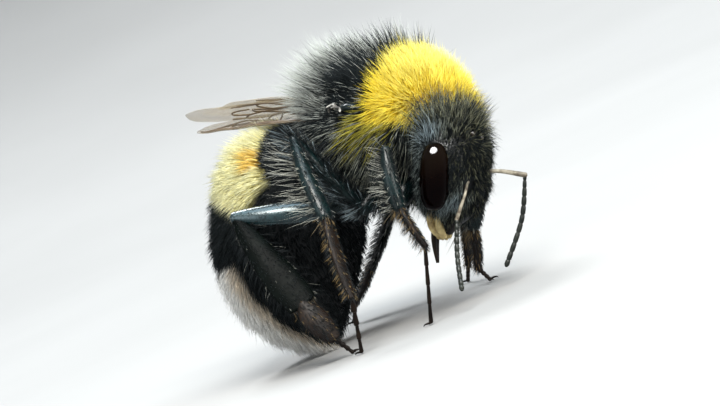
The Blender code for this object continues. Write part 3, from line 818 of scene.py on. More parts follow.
def finishes():
    """All the finishes, made once."""
    if "bee_skin" not in bpy.data.materials:
        skin_finish()
        coat_finish("coat_hair", roughness=0.50, specular=0.16)
        coat_finish("fringe_hair", roughness=0.42, specular=0.3)
        shell_finishes()
        eye_finish()
        membrane_finish()
    return bpy.data.materials


# ---------------------------------------------------------------- markings


def noise_of(places, frequency, seed):
    """Smooth uneven values between -1 and 1, the same for the same places."""
    rng = np.random.default_rng(seed)
    total = np.zeros(len(places))
    for _ in range(NOISE_WAVES):
        direction = unit(rng.normal(size=3)) * frequency * rng.uniform(0.6, 1.5)
        total += np.sin(places @ direction + rng.uniform(0, 2 * np.pi))
    return total / NOISE_WAVES


def colours():
    """The colours set in the panel."""
    return bpy.context.scene.bee_colours


def sizes():
    """The sizes set in the panel."""
    return bpy.context.scene.bee_sizes


def forward_share(places):
    """How squarely each place of the thorax faces forward, from -1 to 1."""
    return -places[:, 1] / np.linalg.norm(places, axis=1)


def collar_share(places):
    """1 in the collar, 0 outside it, for places of the thorax."""
    height = places[:, 2]
    uneven = noise_of(places, frequency=5.0, seed=11)
    edge = COLLAR_EDGE + COLLAR_SLANT * np.clip(height / THORAX_TOP, 0, 1)
    ahead = ease(-0.01, 0.01, forward_share(places) - edge + 0.025 * uneven)
    return ahead * ease(-0.05, 0.05, height - COLLAR_FOOT + 0.1 * uneven)


def crest_share(places):
    """1 on the upper rear of the thorax, where the hairs are longest."""
    return ease(0.30, 0.75, places[:, 1] / THORAX_HALF_LENGTH) * ease(0.1, 1.1, places[:, 2])


def straggle_share(places):
    """1 below and behind the lower corner of the collar, where olive hairs mix into the dark ones."""
    forward, height = forward_share(places), places[:, 2]
    ahead = ease(0.02, 0.20, forward) * ease(0.75, 0.50, forward)
    return ahead * ease(-0.45, 0.0, height) * ease(0.75, 0.35, height)


def thorax_marking(places):
    """Root colours of the thorax: a yellow collar before black."""
    tone = colours()
    return mixed(tone.black, tone.yellow, collar_share(places))


def abdomen_marking(places, along, around):
    """Root and tip colours of the abdomen, with the shares of its yellow band and white tail."""
    tone = colours()
    dorsal, aside = np.sin(2 * np.pi * around), np.abs(np.cos(2 * np.pi * around))
    uneven = 0.008 * noise_of(places, frequency=6.0, seed=23)
    start, end = YELLOW_BAND
    start = start - 0.03 * ease(0.3, 0.9, dorsal)
    band = ease(-0.008, 0.008, along - start + uneven) * ease(-0.008, 0.008, end - along + uneven)
    band = band * ease(BELLY_EDGE - 0.1, BELLY_EDGE + 0.05, dorsal)
    side = TAIL_EDGE + 5.0 * uneven
    white = ease(-0.01, 0.01, along - WHITE_TAIL_START + uneven) * ease(side - 0.06, side + 0.06, dorsal)
    edge = white * ease(0.35, 0.0, dorsal - side)
    flank = ease(0.74, 0.84, aside) * ease(0.985, 0.94, aside) * (dorsal > 0)
    spot = band * flank * ease(0.18, 0.195, along) * ease(0.25, 0.225, along)
    root = np.array(tone.black)
    tip = root * ABDOMEN_COAT["dark_tip"]
    for share, root_colour, root_amount, tip_colour, tip_amount in (
        (band, tone.lemon, 1.0, tone.lemon_tip, 1.0),
        (white, tone.white, 1.0, tone.white_tip, 1.0),
        (edge, tone.buff, 0.8, tone.buff, 0.6),
        (spot, tone.orange, 1.0, tone.orange, 0.8),
    ):
        root = mixed(root, root_colour, share * root_amount)
        tip = mixed(tip, tip_colour, share * tip_amount)
    return root, tip, band, white


# ---------------------------------------------------------------- roots and hairs


class Roots:
    """Places on a grid with their normals, the way along the grid, and shares along and around it."""

    def __init__(self, places, normals, forward, along, around):
        self.places, self.normals, self.forward = places, normals, forward
        self.along, self.around = along, around

    def __len__(self):
        return len(self.places)

    def parts(self):
        """What is known of the roots, in the order in which it is given."""
        return self.places, self.normals, self.forward, self.along, self.around

    def keep(self, mask):
        """Only the roots that a mask picks."""
        return Roots(*(part[mask] for part in self.parts()))

    @staticmethod
    def together(groups):
        """Several groups of roots as one."""
        return Roots(*(np.concatenate(parts) for parts in zip(*(group.parts() for group in groups))))


def scatter(grid, amount, rng, density=None):
    """Random roots over a grid, even over its area times the density at each place."""
    rows, count = grid.shape[:2]
    wrapped = np.concatenate([grid, grid[:, :1]], axis=1)
    near, far = wrapped[:-1], wrapped[1:]
    step_along, step_around = far[:, :-1] - near[:, :-1], near[:, 1:] - near[:, :-1]
    crosses = np.cross(step_around, step_along)
    outward = near[:, :-1] - near[:, :-1].mean(axis=1, keepdims=True)
    crosses *= np.sign((crosses * outward).sum(axis=-1).sum())
    normals = np.zeros_like(grid)
    for first in (0, 1):
        touching = normals[first:rows - 1 + first]
        touching += crosses
        touching += np.roll(crosses, 1, axis=1)
    normals = unit(normals)
    weights = np.linalg.norm(crosses, axis=-1)
    if density is not None:
        centres = (near[:, :-1] + near[:, 1:] + far[:, :-1] + far[:, 1:]) / 4
        weights = weights * density(centres.reshape(-1, 3)).reshape(weights.shape)
    chance = weights.ravel() / weights.sum()
    chosen = rng.choice(len(chance), size=amount, p=chance)
    i, j = np.divmod(chosen, count)
    a, b = rng.random(amount)[:, None], rng.random(amount)[:, None]
    k = (j + 1) % count

    def blend(values):
        """Values of the grid at the chosen places within its quads."""
        first = values[i, j] * (1 - b) + values[i, k] * b
        second = values[i + 1, j] * (1 - b) + values[i + 1, k] * b
        return first * (1 - a) + second * a

    return Roots(
        blend(grid), unit(blend(normals)), unit(step_along[i, j]),
        (i + a[:, 0]) / (rows - 1), (j + b[:, 0]) / count,
    )


def tangent(normals, way):
    """The part of a direction that lies along the skin."""
    way = np.asarray(way, float)
    return way - normals * (normals * way).sum(axis=-1, keepdims=True)


def hair_points(roots, start_way, end_way, lengths, widths, shares, rng):
    """Points of each hair: a ring of three at every share along it but the last, then its tip."""
    start_way, end_way = unit(start_way), unit(end_way)
    sunk = roots.places - start_way * ROOT_DEPTH
    lengths = np.asarray(lengths, float)[:, None]
    middle = [
        sunk + lengths * (start_way * s + (end_way - start_way) * (0.5 * s * s)) for s in shares
    ]
    side = unit(np.cross(start_way, unit(rng.normal(size=(len(roots), 3)))))
    other = np.cross(start_way, side)
    taper = (1 - shares**1.6) * (0.75 + 0.25 * np.minimum(shares * 4, 1))
    points = []
    for centre, narrowed in zip(middle[:-1], taper):
        reach = (np.asarray(widths) * narrowed)[:, None]
        for corner in range(3):
            angle = 2 * np.pi * corner / 3
            points.append(centre + reach * (side * math.cos(angle) + other * math.sin(angle)))
    points.append(middle[-1])
    return np.stack(points, axis=1)


def hair_triangles(rows):
    """Faces of one three-sided hair: over its root, round its rings and up to its tip."""
    triangles = [(0, 2, 1)]
    for ring in range(rows - 1):
        for corner in range(3):
            a, b = ring * 3 + corner, ring * 3 + (corner + 1) % 3
            triangles += [(a, b, b + 3), (a, b + 3, a + 3)]
    top = (rows - 1) * 3
    for corner in range(3):
        triangles.append((top + corner, top + (corner + 1) % 3, rows * 3))
    return np.array(triangles)


def hairs(
    name, roots, start_way, end_way, lengths, widths, root_colour, tip_colour, rng,
    finish="coat_hair", rows=3,
):
    """A dressed piece of closed three-sided hairs that bend from one way to another.

    Each hair has as many rings as there are rows and tapers from the last of them to a point.
    """
    count = len(roots)
    shares = np.linspace(0, 1, rows + 1)
    points = hair_points(roots, start_way, end_way, lengths, widths, shares, rng)
    each = points.shape[1]
    triangles = hair_triangles(rows)
    indices = (triangles[None] + (np.arange(count) * each)[:, None, None]).reshape(-1)

    mesh = bpy.data.meshes.new(name)
    mesh.vertices.add(count * each)
    world = to_world(points.reshape(-1, 3))
    world[:, 2] = np.maximum(world[:, 2], FLOOR_CLEARANCE * MM)
    mesh.vertices.foreach_set("co", world.astype(np.float32).ravel())
    mesh.loops.add(len(indices))
    mesh.loops.foreach_set("vertex_index", indices.astype(np.int32))
    mesh.polygons.add(count * len(triangles))
    mesh.polygons.foreach_set("loop_start", np.arange(0, len(indices), 3, dtype=np.int32))
    mesh.update(calc_edges=True)
    mesh.shade_smooth()

    up_the_hair = np.append(np.repeat(shares[:rows], 3), 1.0)
    blend = up_the_hair[None, :, None] ** 1.3
    tints = root_colour[:, None] * (1 - blend) + tip_colour[:, None] * blend
    paint(mesh, tints.reshape(-1, 3))

    corners = np.stack([np.array([0.0, 0.5, 1.0] * rows + [0.5]), up_the_hair], axis=1) - 0.5
    centres = BAKE_MARGIN + (1 - 2 * BAKE_MARGIN) * np.stack([roots.around, roots.along], axis=1)
    patches = (centres[:, None] + corners * BAKE_PATCH).reshape(-1, 2)[indices]
    layer = mesh.uv_layers.new(name="OFBake")
    layer.uv.foreach_set("vector", patches.astype(np.float32).ravel())
    dress(add_object(name, mesh, finishes()[finish]), COAT_SLOTS.get(name, "coat_black"))


class SkinShape:
    """The body's skin, kept for finding which roots are on it."""

    tree = None


def on_skin(roots):
    """Only the roots that lie on the joined skin, not inside a neighbouring part."""
    near = np.array([SkinShape.tree.find_nearest(Vector(p))[3] for p in roots.places])
    return roots.keep(near < SKIN_REACH)


def clear_of_eyes(roots):
    """Only the roots outside both eyes."""
    mask = np.ones(len(roots), bool)
    for side in (-1, 1):
        centre, axes = eye_frame(side)
        own_places = (roots.places - centre) @ axes.T / np.array(EYE_HALF_SIZES)
        level = np.linalg.norm(own_places[:, :2], axis=1)
        mask &= level**EYE_FULLNESS + np.abs(own_places[:, 2]) ** EYE_FULLNESS > 1.0
    return roots.keep(mask)


def eye_frame(side):
    """Centre and axes of an eye in the body frame."""
    forward, outward, up = EYE_PLACE
    centre = in_head((forward, side * outward, up))
    turn = HEAD @ rotation("Z", -side * EYE_TOE_IN)
    return centre, turn.T


# ---------------------------------------------------------------- pieces


def make_body_skin():
    """Head, thorax and abdomen as one closed skin without seams, with the coat's markings."""
    across = np.array((1.0, 0, 0))
    nape = in_head((-1.2, 0, 0.1)) * 0.5 + own((1.5, 0, -0.6)) * 0.5
    neck = [in_head((-0.75, 0, 0.1)), nape, own((1.3, 0, -0.5))]
    waist = [own((-1.6, 0, -0.45)), own((-2.2, 0, -0.7)), own((-2.8, 0, -1.0))]
    points, faces = joined([
        head_grid(), thorax_grid(), abdomen_grid(),
        limb_grid(neck, ((0.7, 0.7), (0.75, 0.75), (0.8, 0.8)), across),
        limb_grid(waist, ((0.8, 0.7), (0.9, 0.8), (1.0, 0.9)), across),
    ])
    draft = bpy.data.objects.new("body_skin_draft", outward_mesh("body_skin_draft", points, faces))
    bpy.context.scene.collection.objects.link(draft)
    remesh = draft.modifiers.new("one_skin", "REMESH")
    remesh.mode = "VOXEL"
    remesh.voxel_size = SKIN_VOXEL
    even = draft.modifiers.new("even", "SMOOTH")
    even.factor = 0.5
    even.iterations = 4
    shape = bpy.data.meshes.new_from_object(draft.evaluated_get(bpy.context.evaluated_depsgraph_get()))
    bpy.data.objects.remove(draft)

    places = np.zeros(len(shape.vertices) * 3, np.float32)
    shape.vertices.foreach_get("co", places)
    places = places.reshape(-1, 3).astype(float)
    corners = [tuple(face.vertices) for face in shape.polygons]
    SkinShape.tree = BVHTree.FromPolygons(places.tolist(), corners)

    paint(shape, skin_colours(places))
    shape.vertices.foreach_set("co", to_world(places).astype(np.float32).ravel())
    shape.update()
    shape.materials.clear()
    shape.shade_smooth()
    shape.name = "body_skin"
    skin = add_object("body_skin", shape, finishes()["bee_skin"])
    dress(skin, "shell_black", "head", "thorax", *(f"abdomen_{number}" for number in range(1, 7)))


def skin_colours(places):
    """The markings at any place of the skin, taken from the nearest point of its parts."""
    thorax, head = thorax_grid().reshape(-1, 3), head_grid().reshape(-1, 3)
    grid = abdomen_grid()
    rows, count = grid.shape[:2]
    along, around = np.meshgrid(np.linspace(0, 1, rows), np.arange(count) / count, indexing="ij")
    abdomen = grid.reshape(-1, 3)
    abdomen_tints = abdomen_marking(abdomen, along.ravel(), around.ravel())[0]
    known = np.concatenate([thorax, head, abdomen])
    tints = np.concatenate([thorax_marking(thorax), rows_of(colours().black, len(head)), abdomen_tints])
    tree = KDTree(len(known))
    for i, place in enumerate(known):
        tree.insert(place, i)
    tree.balance()
    nearest = np.array([tree.find(place)[1] for place in places])
    return tints[nearest] * SKIN_SHADE


def make_eyes():
    """Two smooth oval eyes and the three small ones on the brow."""
    for name, side in (("right", -1), ("left", 1)):
        centre, axes = eye_frame(side)
        lens = ball_grid(centre, axes, EYE_HALF_SIZES, rows=56, count=56, fullness=EYE_FULLNESS)
        add_piece(f"eye_{name}_lens", [lens], "eye_facets", "eye_brown", "eye_" + name)
    radii = (OCELLUS_RADIUS,) * 3
    small = [ball_grid(in_head(place), HEAD.T, radii, rows=14, count=18) for place in OCELLI]
    add_piece("ocelli", small, "ocellus_shell", "eye_brown")


def make_face():
    """Mandibles, lip plate and the folded tongue."""
    across = HEAD @ np.array((1.0, 0, 0))
    for name, side in (("right", -1), ("left", 1)):
        path = [in_head((ahead, side * aside, up)) for ahead, aside, up in JAW_PATH]
        ridge = np.array(JAW_SPLIT) * (side, 1, 1) @ HEAD.T
        jaw = [
            limb_grid([place + ridge * way for place in path], size, across, rows=22, count=16)
            for way, size in JAW_RIDGES
        ]
        tooth = [path[2], path[3], path[3] + (path[3] - path[2]) * 0.3]
        jaw.append(limb_grid(tooth, JAW_TOOTH, across, rows=12, count=14))
        add_piece("jaw_" + name, jaw, "jaw_shell", "shell_brown", "mandible_" + name)
    lip = [in_head(place) for place in LIP_PATH]
    add_piece("lip_plate", [limb_grid(lip, LIP_SIZES, across)], "foot_shell", "shell_brown")
    tongue = []
    for side, width in TONGUE_STRANDS:
        path = [in_head((ahead, side * aside, up)) for ahead, aside, up in TONGUE_PATH]
        tongue.append(limb_grid(path, ((width, 0.10), (width, 0.08), (0.03, 0.03)), across))
    add_piece("tongue", tongue, "foot_shell", "shell_brown", "proboscis")


def make_antennae():
    """Each feeler: a slender dusty scape, an elbow and a flagellum of short rings."""
    across = HEAD @ np.array((1.0, 0, 0))
    for side, slender in SCAPE_SLENDER.items():
        scape = [in_head(place) for place in SCAPES[side]]
        swell = [(slender * reach,) * 2 for reach in SCAPE_RADII]
        knob = ball_grid(scape[0], HEAD.T, (slender * SCAPE_KNOB,) * 3, rows=12, count=16)
        shaft = limb_grid(scape, swell, across, rows=28, count=16)
        add_piece(f"scape_{side}_shell", [shaft, knob], "feeler_dusty", "shell_black", "scape_" + side)
        path = [in_head(place) for place in FLAGELLA[side]]
        path[0] = scape[-1]
        rings, spaced = [], []
        for segment in range(FLAGELLUM_SEGMENTS):
            for within, breadth in FLAGELLUM_RING:
                share = (segment + within) / FLAGELLUM_SEGMENTS
                spaced.append(share)
                rings.append(breadth * (FLAGELLUM_RADIUS + FLAGELLUM_SWELL * ease(0.0, 0.35, share)))
        even = 0.06
        grid = limb_grid(path, ((even, even),) * 3, across, count=14, spaced=spaced)
        lead = (len(grid) - len(rings)) // 2
        for i, reach in enumerate(rings):
            centre = grid[lead + i].mean(axis=0)
            grid[lead + i] = centre + (grid[lead + i] - centre) * reach / even
        add_piece(f"flagellum_{side}_rings", [grid], "feeler_shell", "shell_black", "flagellum_" + side)


def wing_reach(along):
    """How far a forewing reaches outward and inward of its axis, for distances from its root."""
    table = spline(FOREWING_WIDTHS, np.linspace(0, 1, 400))
    distance = table[:, 0] * FOREWING_LENGTH
    return np.interp(along, distance, table[:, 1]), np.interp(along, distance, table[:, 2])


def hindwing_width(along):
    """How broad a hindwing is, for distances from the root of the forewing."""
    share = (np.asarray(along) / FOREWING_LENGTH - HINDWING_START) / (HINDWING_END - HINDWING_START)
    width = spline([(w,) for w in HINDWING_WIDTHS], np.clip(share, 0, 1))[..., 0]
    return np.where((share < 0) | (share > 1), 0.0, width)


def wing_place(side, inwards, level, along, across, lift):
    """A place of a wing's own plane in the body frame: along it, outward and up."""
    swing = rotation("Z", side * inwards)
    forward, outward, up = WING_ROOT
    root = np.array((side * outward, -forward, up + level))
    flat = np.stack([side * across, along, lift], axis=-1)
    return root + flat @ swing.T


def wing_lift(along, across, side):
    """The roof-like slope, pleats and droop of a resting wing."""
    share = along / FOREWING_LENGTH
    steep, droop = WING_SLOPES[side]
    slope = steep * np.tanh(-(across + 0.8) / 1.1)
    pleats = 0.045 * np.sin(across * 4.2 + share * 3.0) * np.sin(np.pi * np.clip(share, 0, 1))
    ripple = 0.02 * np.sin(along * 3.1 + across * 1.7 + side)
    bow = 0.06 * np.sin(np.pi * share)
    return slope * ease(0.0, 0.15, share) + bow - droop * share**2 + pleats + ripple * share


def make_wing(title, wing, outer, inner, alongs, lines):
    """One wing: a thin closed membrane between two edge lines, and its raised veins."""
    sheet = wing_sheet(*wing, outer, inner, alongs)
    add_piece(title + "_membrane", [sheet], "wing_membrane", "wing_amber", title, sharp=40)
    veins = []
    for line, start_radius, end_radius in lines:
        shares, place = np.array(line).T
        along = shares * FOREWING_LENGTH
        across = np.interp(along, alongs, outer) * (1 - place) + np.interp(along, alongs, inner) * place
        veins.append(vein(*wing, np.stack([along, across], axis=1), start_radius, end_radius))
    add_piece(title + "_veins", veins, "wing_vein", "wing_amber")


def wing_sheet(side, inwards, level, outer, inner, alongs, columns=40):
    """A closed thin sheet between two edge lines."""
    shares = np.linspace(0, 1, columns)
    across = outer[:, None] * (1 - shares) + inner[:, None] * shares
    along = np.repeat(alongs[:, None], columns, axis=1)
    lift = wing_lift(along, across, side)
    half = MEMBRANE_THICK / 2
    top = wing_place(side, inwards, level, along, across, lift + half)
    bottom = wing_place(side, inwards, level, along, across, lift - half)
    return np.concatenate([top, bottom[:, ::-1]], axis=1)


def vein(side, inwards, level, path, start_radius, end_radius):
    """A raised tube along a line of (along, across) places."""
    shares = np.linspace(0, 1, max(8, 4 * len(path)))
    along, across = spline(path, shares).T
    lift = wing_lift(along, across, side)
    places = wing_place(side, inwards, level, along, across, lift)
    up = np.array((0, 0, 1.0))
    radii = ((start_radius, start_radius), (end_radius, end_radius))
    return limb_grid(places, radii, up, count=8, spaced=shares)


def make_wings():
    """Two pairs of clear brown wings with raised veins, and the plates over their roots."""
    for name, side, inwards, level in WING_PAIRS:
        alongs = np.linspace(0.0, FOREWING_LENGTH, 120)
        outer, inner = wing_reach(alongs)
        make_wing("forewing_" + name, (side, inwards, level), outer, -inner, alongs, FOREWING_VEINS)
        alongs = np.linspace(HINDWING_START, HINDWING_END, 90) * FOREWING_LENGTH
        hooked = -wing_reach(alongs)[1] + HINDWING_OVERLAP
        free = hooked - hindwing_width(alongs)
        wing = (side, inwards, level - HINDWING_DROP)
        make_wing("hindwing_" + name, wing, hooked, free, alongs, HINDWING_VEINS)
        make_wing_root(name, side, level)


def make_wing_root(name, side, level):
    """The domed plate over a wing's root and the small hard lumps behind it."""
    forward, outward, up = WING_ROOT
    centre = own((forward + 0.18, side * (outward + 0.16), up + 0.10 + 0.4 * level))
    dome = ball_grid(centre, np.eye(3), TEGULA_HALF_SIZES, rows=20, count=24)
    add_piece(f"tegula_{name}_dome", [dome], "leg_shell", "shell_black", "tegula_" + name)
    lumps = []
    rng = np.random.default_rng(SEEDS["wing_roots"])
    for number in range(WING_ROOT_LUMPS):
        ahead, aside, above = -0.16 - 0.055 * number, rng.uniform(0.02, 0.26), rng.uniform(-0.08, 0.12)
        size = rng.uniform(0.05, 0.11)
        place = centre + own((ahead, side * aside, above))
        lean = turned(rng.uniform(-50, 50), rng.uniform(-60, 60), rng.uniform(-60, 60)).T
        shape = (size * 0.6, size * rng.uniform(1.2, 2.4), size * 0.35)
        lumps.append(ball_grid(place, lean, shape, rows=10, count=12))
    add_piece(f"wing_root_{name}", lumps, "wing_root_shell", "wing_amber")


def leg_side(name):
    """-1 for a right leg and 1 for a left one."""
    return -1 if name.endswith("right") else 1


def leg_joints(name):
    """The joints of a leg in the body frame."""
    row = name.split("_")[0]
    knee, shin, heel, foot = LEGS[name]
    places = {"coxa": COXAE[row], "hip": HIPS[row], "knee": knee, "shin": shin, "heel": heel}
    joints = {joint: own((f, leg_side(name) * o, u)) for joint, (f, o, u) in places.items()}
    joints["foot"] = from_floor((*foot, FLOOR_CLEARANCE + 0.06))
    return joints


def leg_lengths(name):
    """Path, sizes and broad way of each length of a leg."""
    joints = leg_joints(name)
    shapes = dict(LIMB_SIZES)
    if name.startswith("hind"):
        shapes.update(HIND_SIZES)
    thigh, shank = joints["knee"] - joints["hip"], joints["shin"] - joints["knee"]
    flat = unit(np.cross(unit(np.cross(thigh, shank)), unit(shank)))
    outward = np.array((leg_side(name), 0, 0), float)
    lengths = {}
    for kind, start, end, bow in (
        ("coxa", "coxa", "hip", 0.0), ("femur", "hip", "knee", 0.12),
        ("tibia", "knee", "shin", 0.10), ("basitarsus", "shin", "heel", 0.04),
    ):
        middle = (joints[start] + joints[end]) / 2 + outward * bow
        lengths[kind] = ([joints[start], middle, joints[end]], shapes[kind], flat)
    return joints, lengths, flat


def make_legs():
    """Six legs of shell, each from coxa to claws."""
    for name in LEGS:
        joints, lengths, flat = leg_lengths(name)
        kinds = ["coxa", "femur", "tibia"]
        if name.startswith("hind"):
            kinds = ["coxa"]
            for kind, title in (("femur", "thigh"), ("tibia", "basket")):
                shaft = limb_grid(*lengths[kind], rows=40, count=24)
                add_piece(f"{title}_{name}", [shaft], title + "_shell", "shell_black", f"{kind}_{name}")
        shafts = [limb_grid(*lengths[kind], rows=30, count=20) for kind in kinds]
        nodes = (f"{kind}_{name}" for kind in kinds)
        add_piece(f"leg_{name}_shell", shafts, "leg_shell", "shell_black", *nodes)
        foot = [limb_grid(*lengths["basitarsus"], rows=24, count=18)]
        start, end = joints["heel"], joints["foot"]
        step = (end - start) / TARSOMERES
        for number in range(TARSOMERES):
            low, high = start + step * number, start + step * (number + 0.94)
            wide = 0.105 - 0.012 * number
            widths = ((0.055, 0.05), (wide * 0.8, 0.06), (wide, 0.07))
            foot.append(limb_grid([low, (low + high) / 2, high], widths, flat, rows=10, count=12))
        nodes = (f"basitarsus_{name}", f"tarsus_{name}")
        add_piece(f"foot_{name}_shell", foot, "foot_shell", "shell_brown", *nodes)
        make_claws(name, joints)


def make_claws(name, joints):
    """Two curved claws with a small pad between them, and the spur at the end of the shin."""
    end, shin = joints["foot"], joints["shin"]
    down = BODY.T @ np.array((0, 0, -1.0))
    ahead = tangent(down, end - joints["heel"])
    ahead = unit(ahead) if np.linalg.norm(ahead) > 0.05 else unit(tangent(down, own((1, 0, 0))))
    aside = np.cross(ahead, down)
    grids = []
    for way in (-1, 1):
        path = [end + ahead * on + aside * way * out + down * sunk for on, out, sunk in CLAW_PATH]
        grids.append(limb_grid(path, CLAW_SIZES, aside, rows=14, count=10))
    pad_axes = np.array((aside, ahead, -down))
    grids.append(ball_grid(end + ahead * 0.07, pad_axes, CLAW_PAD, rows=10, count=12))
    way = unit(joints["heel"] - shin)
    tilt = unit(joints["knee"] - joints["hip"])
    spur = [shin, shin + way * 0.22 + tilt * 0.14, shin + way * 0.46 + tilt * 0.18]
    grids.append(limb_grid(spur, SPUR_SIZES, aside, rows=12, count=10))
    add_piece(f"claws_{name}", grids, "foot_shell", "shell_brown")


# ---------------------------------------------------------------- coat


def spread(rng, count, amount):
    """Small random directions, one for each hair."""
    return rng.normal(size=(count, 3)) * amount


def locks(places, frequency, seed):
    """Directions that change smoothly over the coat, so that neighbouring hairs lean together."""
    return np.stack([noise_of(places, frequency, seed + k) for k in range(3)], axis=1)


def some_pale(rng, dark, pale, chance):
    """Tip colours, dark or by the given chance pale, and which hairs got a pale one."""
    chosen = rng.random(len(dark)) < chance
    return np.where(chosen[:, None], pale, dark), chosen


def rows_of(colour, count):
    """The same colour, or the same direction, for each hair."""
    return np.tile(np.array(colour), (count, 1))


def wing_root_gap(places):
    """1 next to the wing roots, where the coat is parted."""
    forward, outward, up = WING_ROOT
    near = np.zeros(len(places))
    for side in (-1, 1):
        for ahead in WING_ROOT_GAPS:
            centre = own((forward + ahead, side * outward, up + 0.15))
            near = np.maximum(near, ease(0.75, 0.35, np.linalg.norm(places - centre, axis=1)))
    return near


def thorax_density(places):
    """Fewer hairs under the thorax than on its back."""
    return 0.4 + 0.6 * ease(-1.6, -0.6, places[:, 2])


def grow_zones(zones, roots, start, end, length, width, root_tint, tip_tint, rng):
    """One piece of coat for each zone of the roots."""
    for name, zone in zones.items():
        hairs(
            name, roots.keep(zone), start[zone], end[zone], length[zone], width[zone],
            root_tint[zone], np.clip(tip_tint[zone], 0, 1), rng,
        )


def thorax_regions(places, rng):
    """How much each hair of the thorax belongs to each region, and whether it is a long guard hair."""
    height = places[:, 2]
    collar, crest = collar_share(places), crest_share(places)
    straggle = straggle_share(places) * (1 - collar)
    side = ease(0.6, -0.4, height) * (1 - collar)
    regions = {"collar": collar, "crest": crest, "straggle": straggle, "side": side}
    guard = rng.random(len(places)) < by_region(THORAX_COAT["guard_share"], regions)
    haze = ease(1.50, 1.95, height) * (1 - collar) * (1 - crest) * guard
    regions.update(guard=guard, haze=haze, collar_top=ease(0.8, 1.8, height))
    regions["long"] = by_region(THORAX_COAT["guard_length"], regions) * guard
    return regions


def thorax_ways(roots, regions, rng):
    """The way each hair of the thorax stands and leans, at its root and at its tip."""
    coat, count = THORAX_COAT, len(roots)
    places, normals, collar = roots.places, roots.normals, regions["collar"]
    back, down = tangent(normals, (0, 1.0, 0)), tangent(normals, (0, 0, -1.0))
    rise = -0.75 + 1.35 * ease(0.2, 1.3, places[:, 2])
    flow = np.stack([0.35 * places[:, 0] / THORAX_HALF_WIDTH, np.full(count, 0.40), rise], axis=1)
    down = down * (1 - collar)[:, None] + tangent(normals, flow) * collar[:, None]
    lean = back * by_region(coat["lie_back"], regions)[:, None]
    lean = lean + down * by_region(coat["lie_down"], regions)[:, None]
    stand = by_region(coat["stand"], regions)
    leaning = locks(places, frequency=8.0, seed=31) * by_region(coat["locks"], regions)[:, None]
    start = normals * (stand + 0.2)[:, None] + lean * 0.7 + spread(rng, count, 0.10) + leaning * 0.16
    end = normals * (stand - 0.15)[:, None] + lean * 1.3 + spread(rng, count, 0.20) + leaning * 0.32
    end[:, 2] += 0.30 * regions["crest"]
    end += spread(rng, count, 0.30) * (regions["crest"] * regions["guard"])[:, None]
    return start, end


def thorax_tints(places, regions, rng):
    """Root and tip colours: dark with some pale tips, yellow in the collar, and olive below it. The
    collar's tips carry a painted highlight on its top and front.
    """
    tone, coat, count = colours(), THORAX_COAT, len(places)
    rearward, height, collar = places[:, 1], places[:, 2], regions["collar"]
    root_tint = thorax_marking(places)
    dark = rows_of(tone.black, count) * coat["dark_tip"]
    # Painted backlight: pale grey tips on the rear and top of the thorax, as if light shone through them
    pale = mixed(tone.backlit_grey_tip, tone.side_tip, regions["side"])
    rear = ease(0.36, 0.70, rearward / THORAX_HALF_LENGTH) * ease(0.1, 1.0, height)
    shares = {**regions, "grey": by_region(coat["backlit_chance"], regions) * rear}
    tip_tint, _ = some_pale(rng, dark, pale, by_region(coat["pale_chance"], shares))
    ahead = ease(0.8, 1.9, -rearward)
    uneven = locks(places, frequency=3.0, seed=47)[:, 0]
    # Painted highlight: the collar's tips turn to the paler yellow towards its top and front, where the
    # light falls, with some uneven tone
    painted_highlight = np.clip(0.15 + 0.5 * ease(0.8, 1.9, height) + 0.45 * ahead + 0.25 * uneven, 0, 1)
    yellow_tip = mixed(tone.yellow, tone.highlight_yellow, painted_highlight)
    tip_tint = tip_tint * (1 - collar)[:, None] + yellow_tip * collar[:, None]
    mixed_in = rng.random(count) < coat["olive_chance"] * regions["straggle"]
    tip_tint[mixed_in] = np.array(tone.olive)
    root_tint[mixed_in] = np.array(tone.olive) * 0.5
    shade = rng.uniform(0.75, 1.15, (count, 1))
    return root_tint * shade, tip_tint * shade


def make_thorax_coat():
    """The collar, the dark back with its greyer crest, whose grey tips are painted backlight, and the
    sides.
    """
    rng = np.random.default_rng(SEEDS["thorax"])
    coat = THORAX_COAT
    roots = on_skin(scatter(thorax_grid(), sizes().thorax_hairs, rng, thorax_density))
    count, places = len(roots), roots.places
    regions = thorax_regions(places, rng)
    start, end = thorax_ways(roots, regions, rng)

    in_collar = regions["collar"] * by_region(coat["collar_length"], regions)
    length = by_region(coat["length"], regions)
    length += coat["straggle_length"] * regions["straggle"] + in_collar
    length += coat["haze_length"] * regions["haze"]
    length *= 1 - coat["wing_root_loss"] * wing_root_gap(places)
    length *= rng.uniform(0.78, 1.12, count) * sizes().coat_length
    fineness = np.where(regions["guard"], 0.72, 1.0)
    width = sizes().hair_width * rng.uniform(0.75, 1.2, count) * fineness
    root_tint, tip_tint = thorax_tints(places, regions, rng)

    dark_coat, flank = regions["collar"] <= 0.5, places[:, 2] <= FLANK_HEIGHT
    zones = {
        "coat_collar": ~dark_coat,
        "coat_back": dark_coat & ~flank,
        "coat_side_right": dark_coat & flank & (places[:, 0] < 0),
        "coat_side_left": dark_coat & flank & (places[:, 0] >= 0),
    }
    grow_zones(zones, roots, start, end, length, width, root_tint, tip_tint, rng)


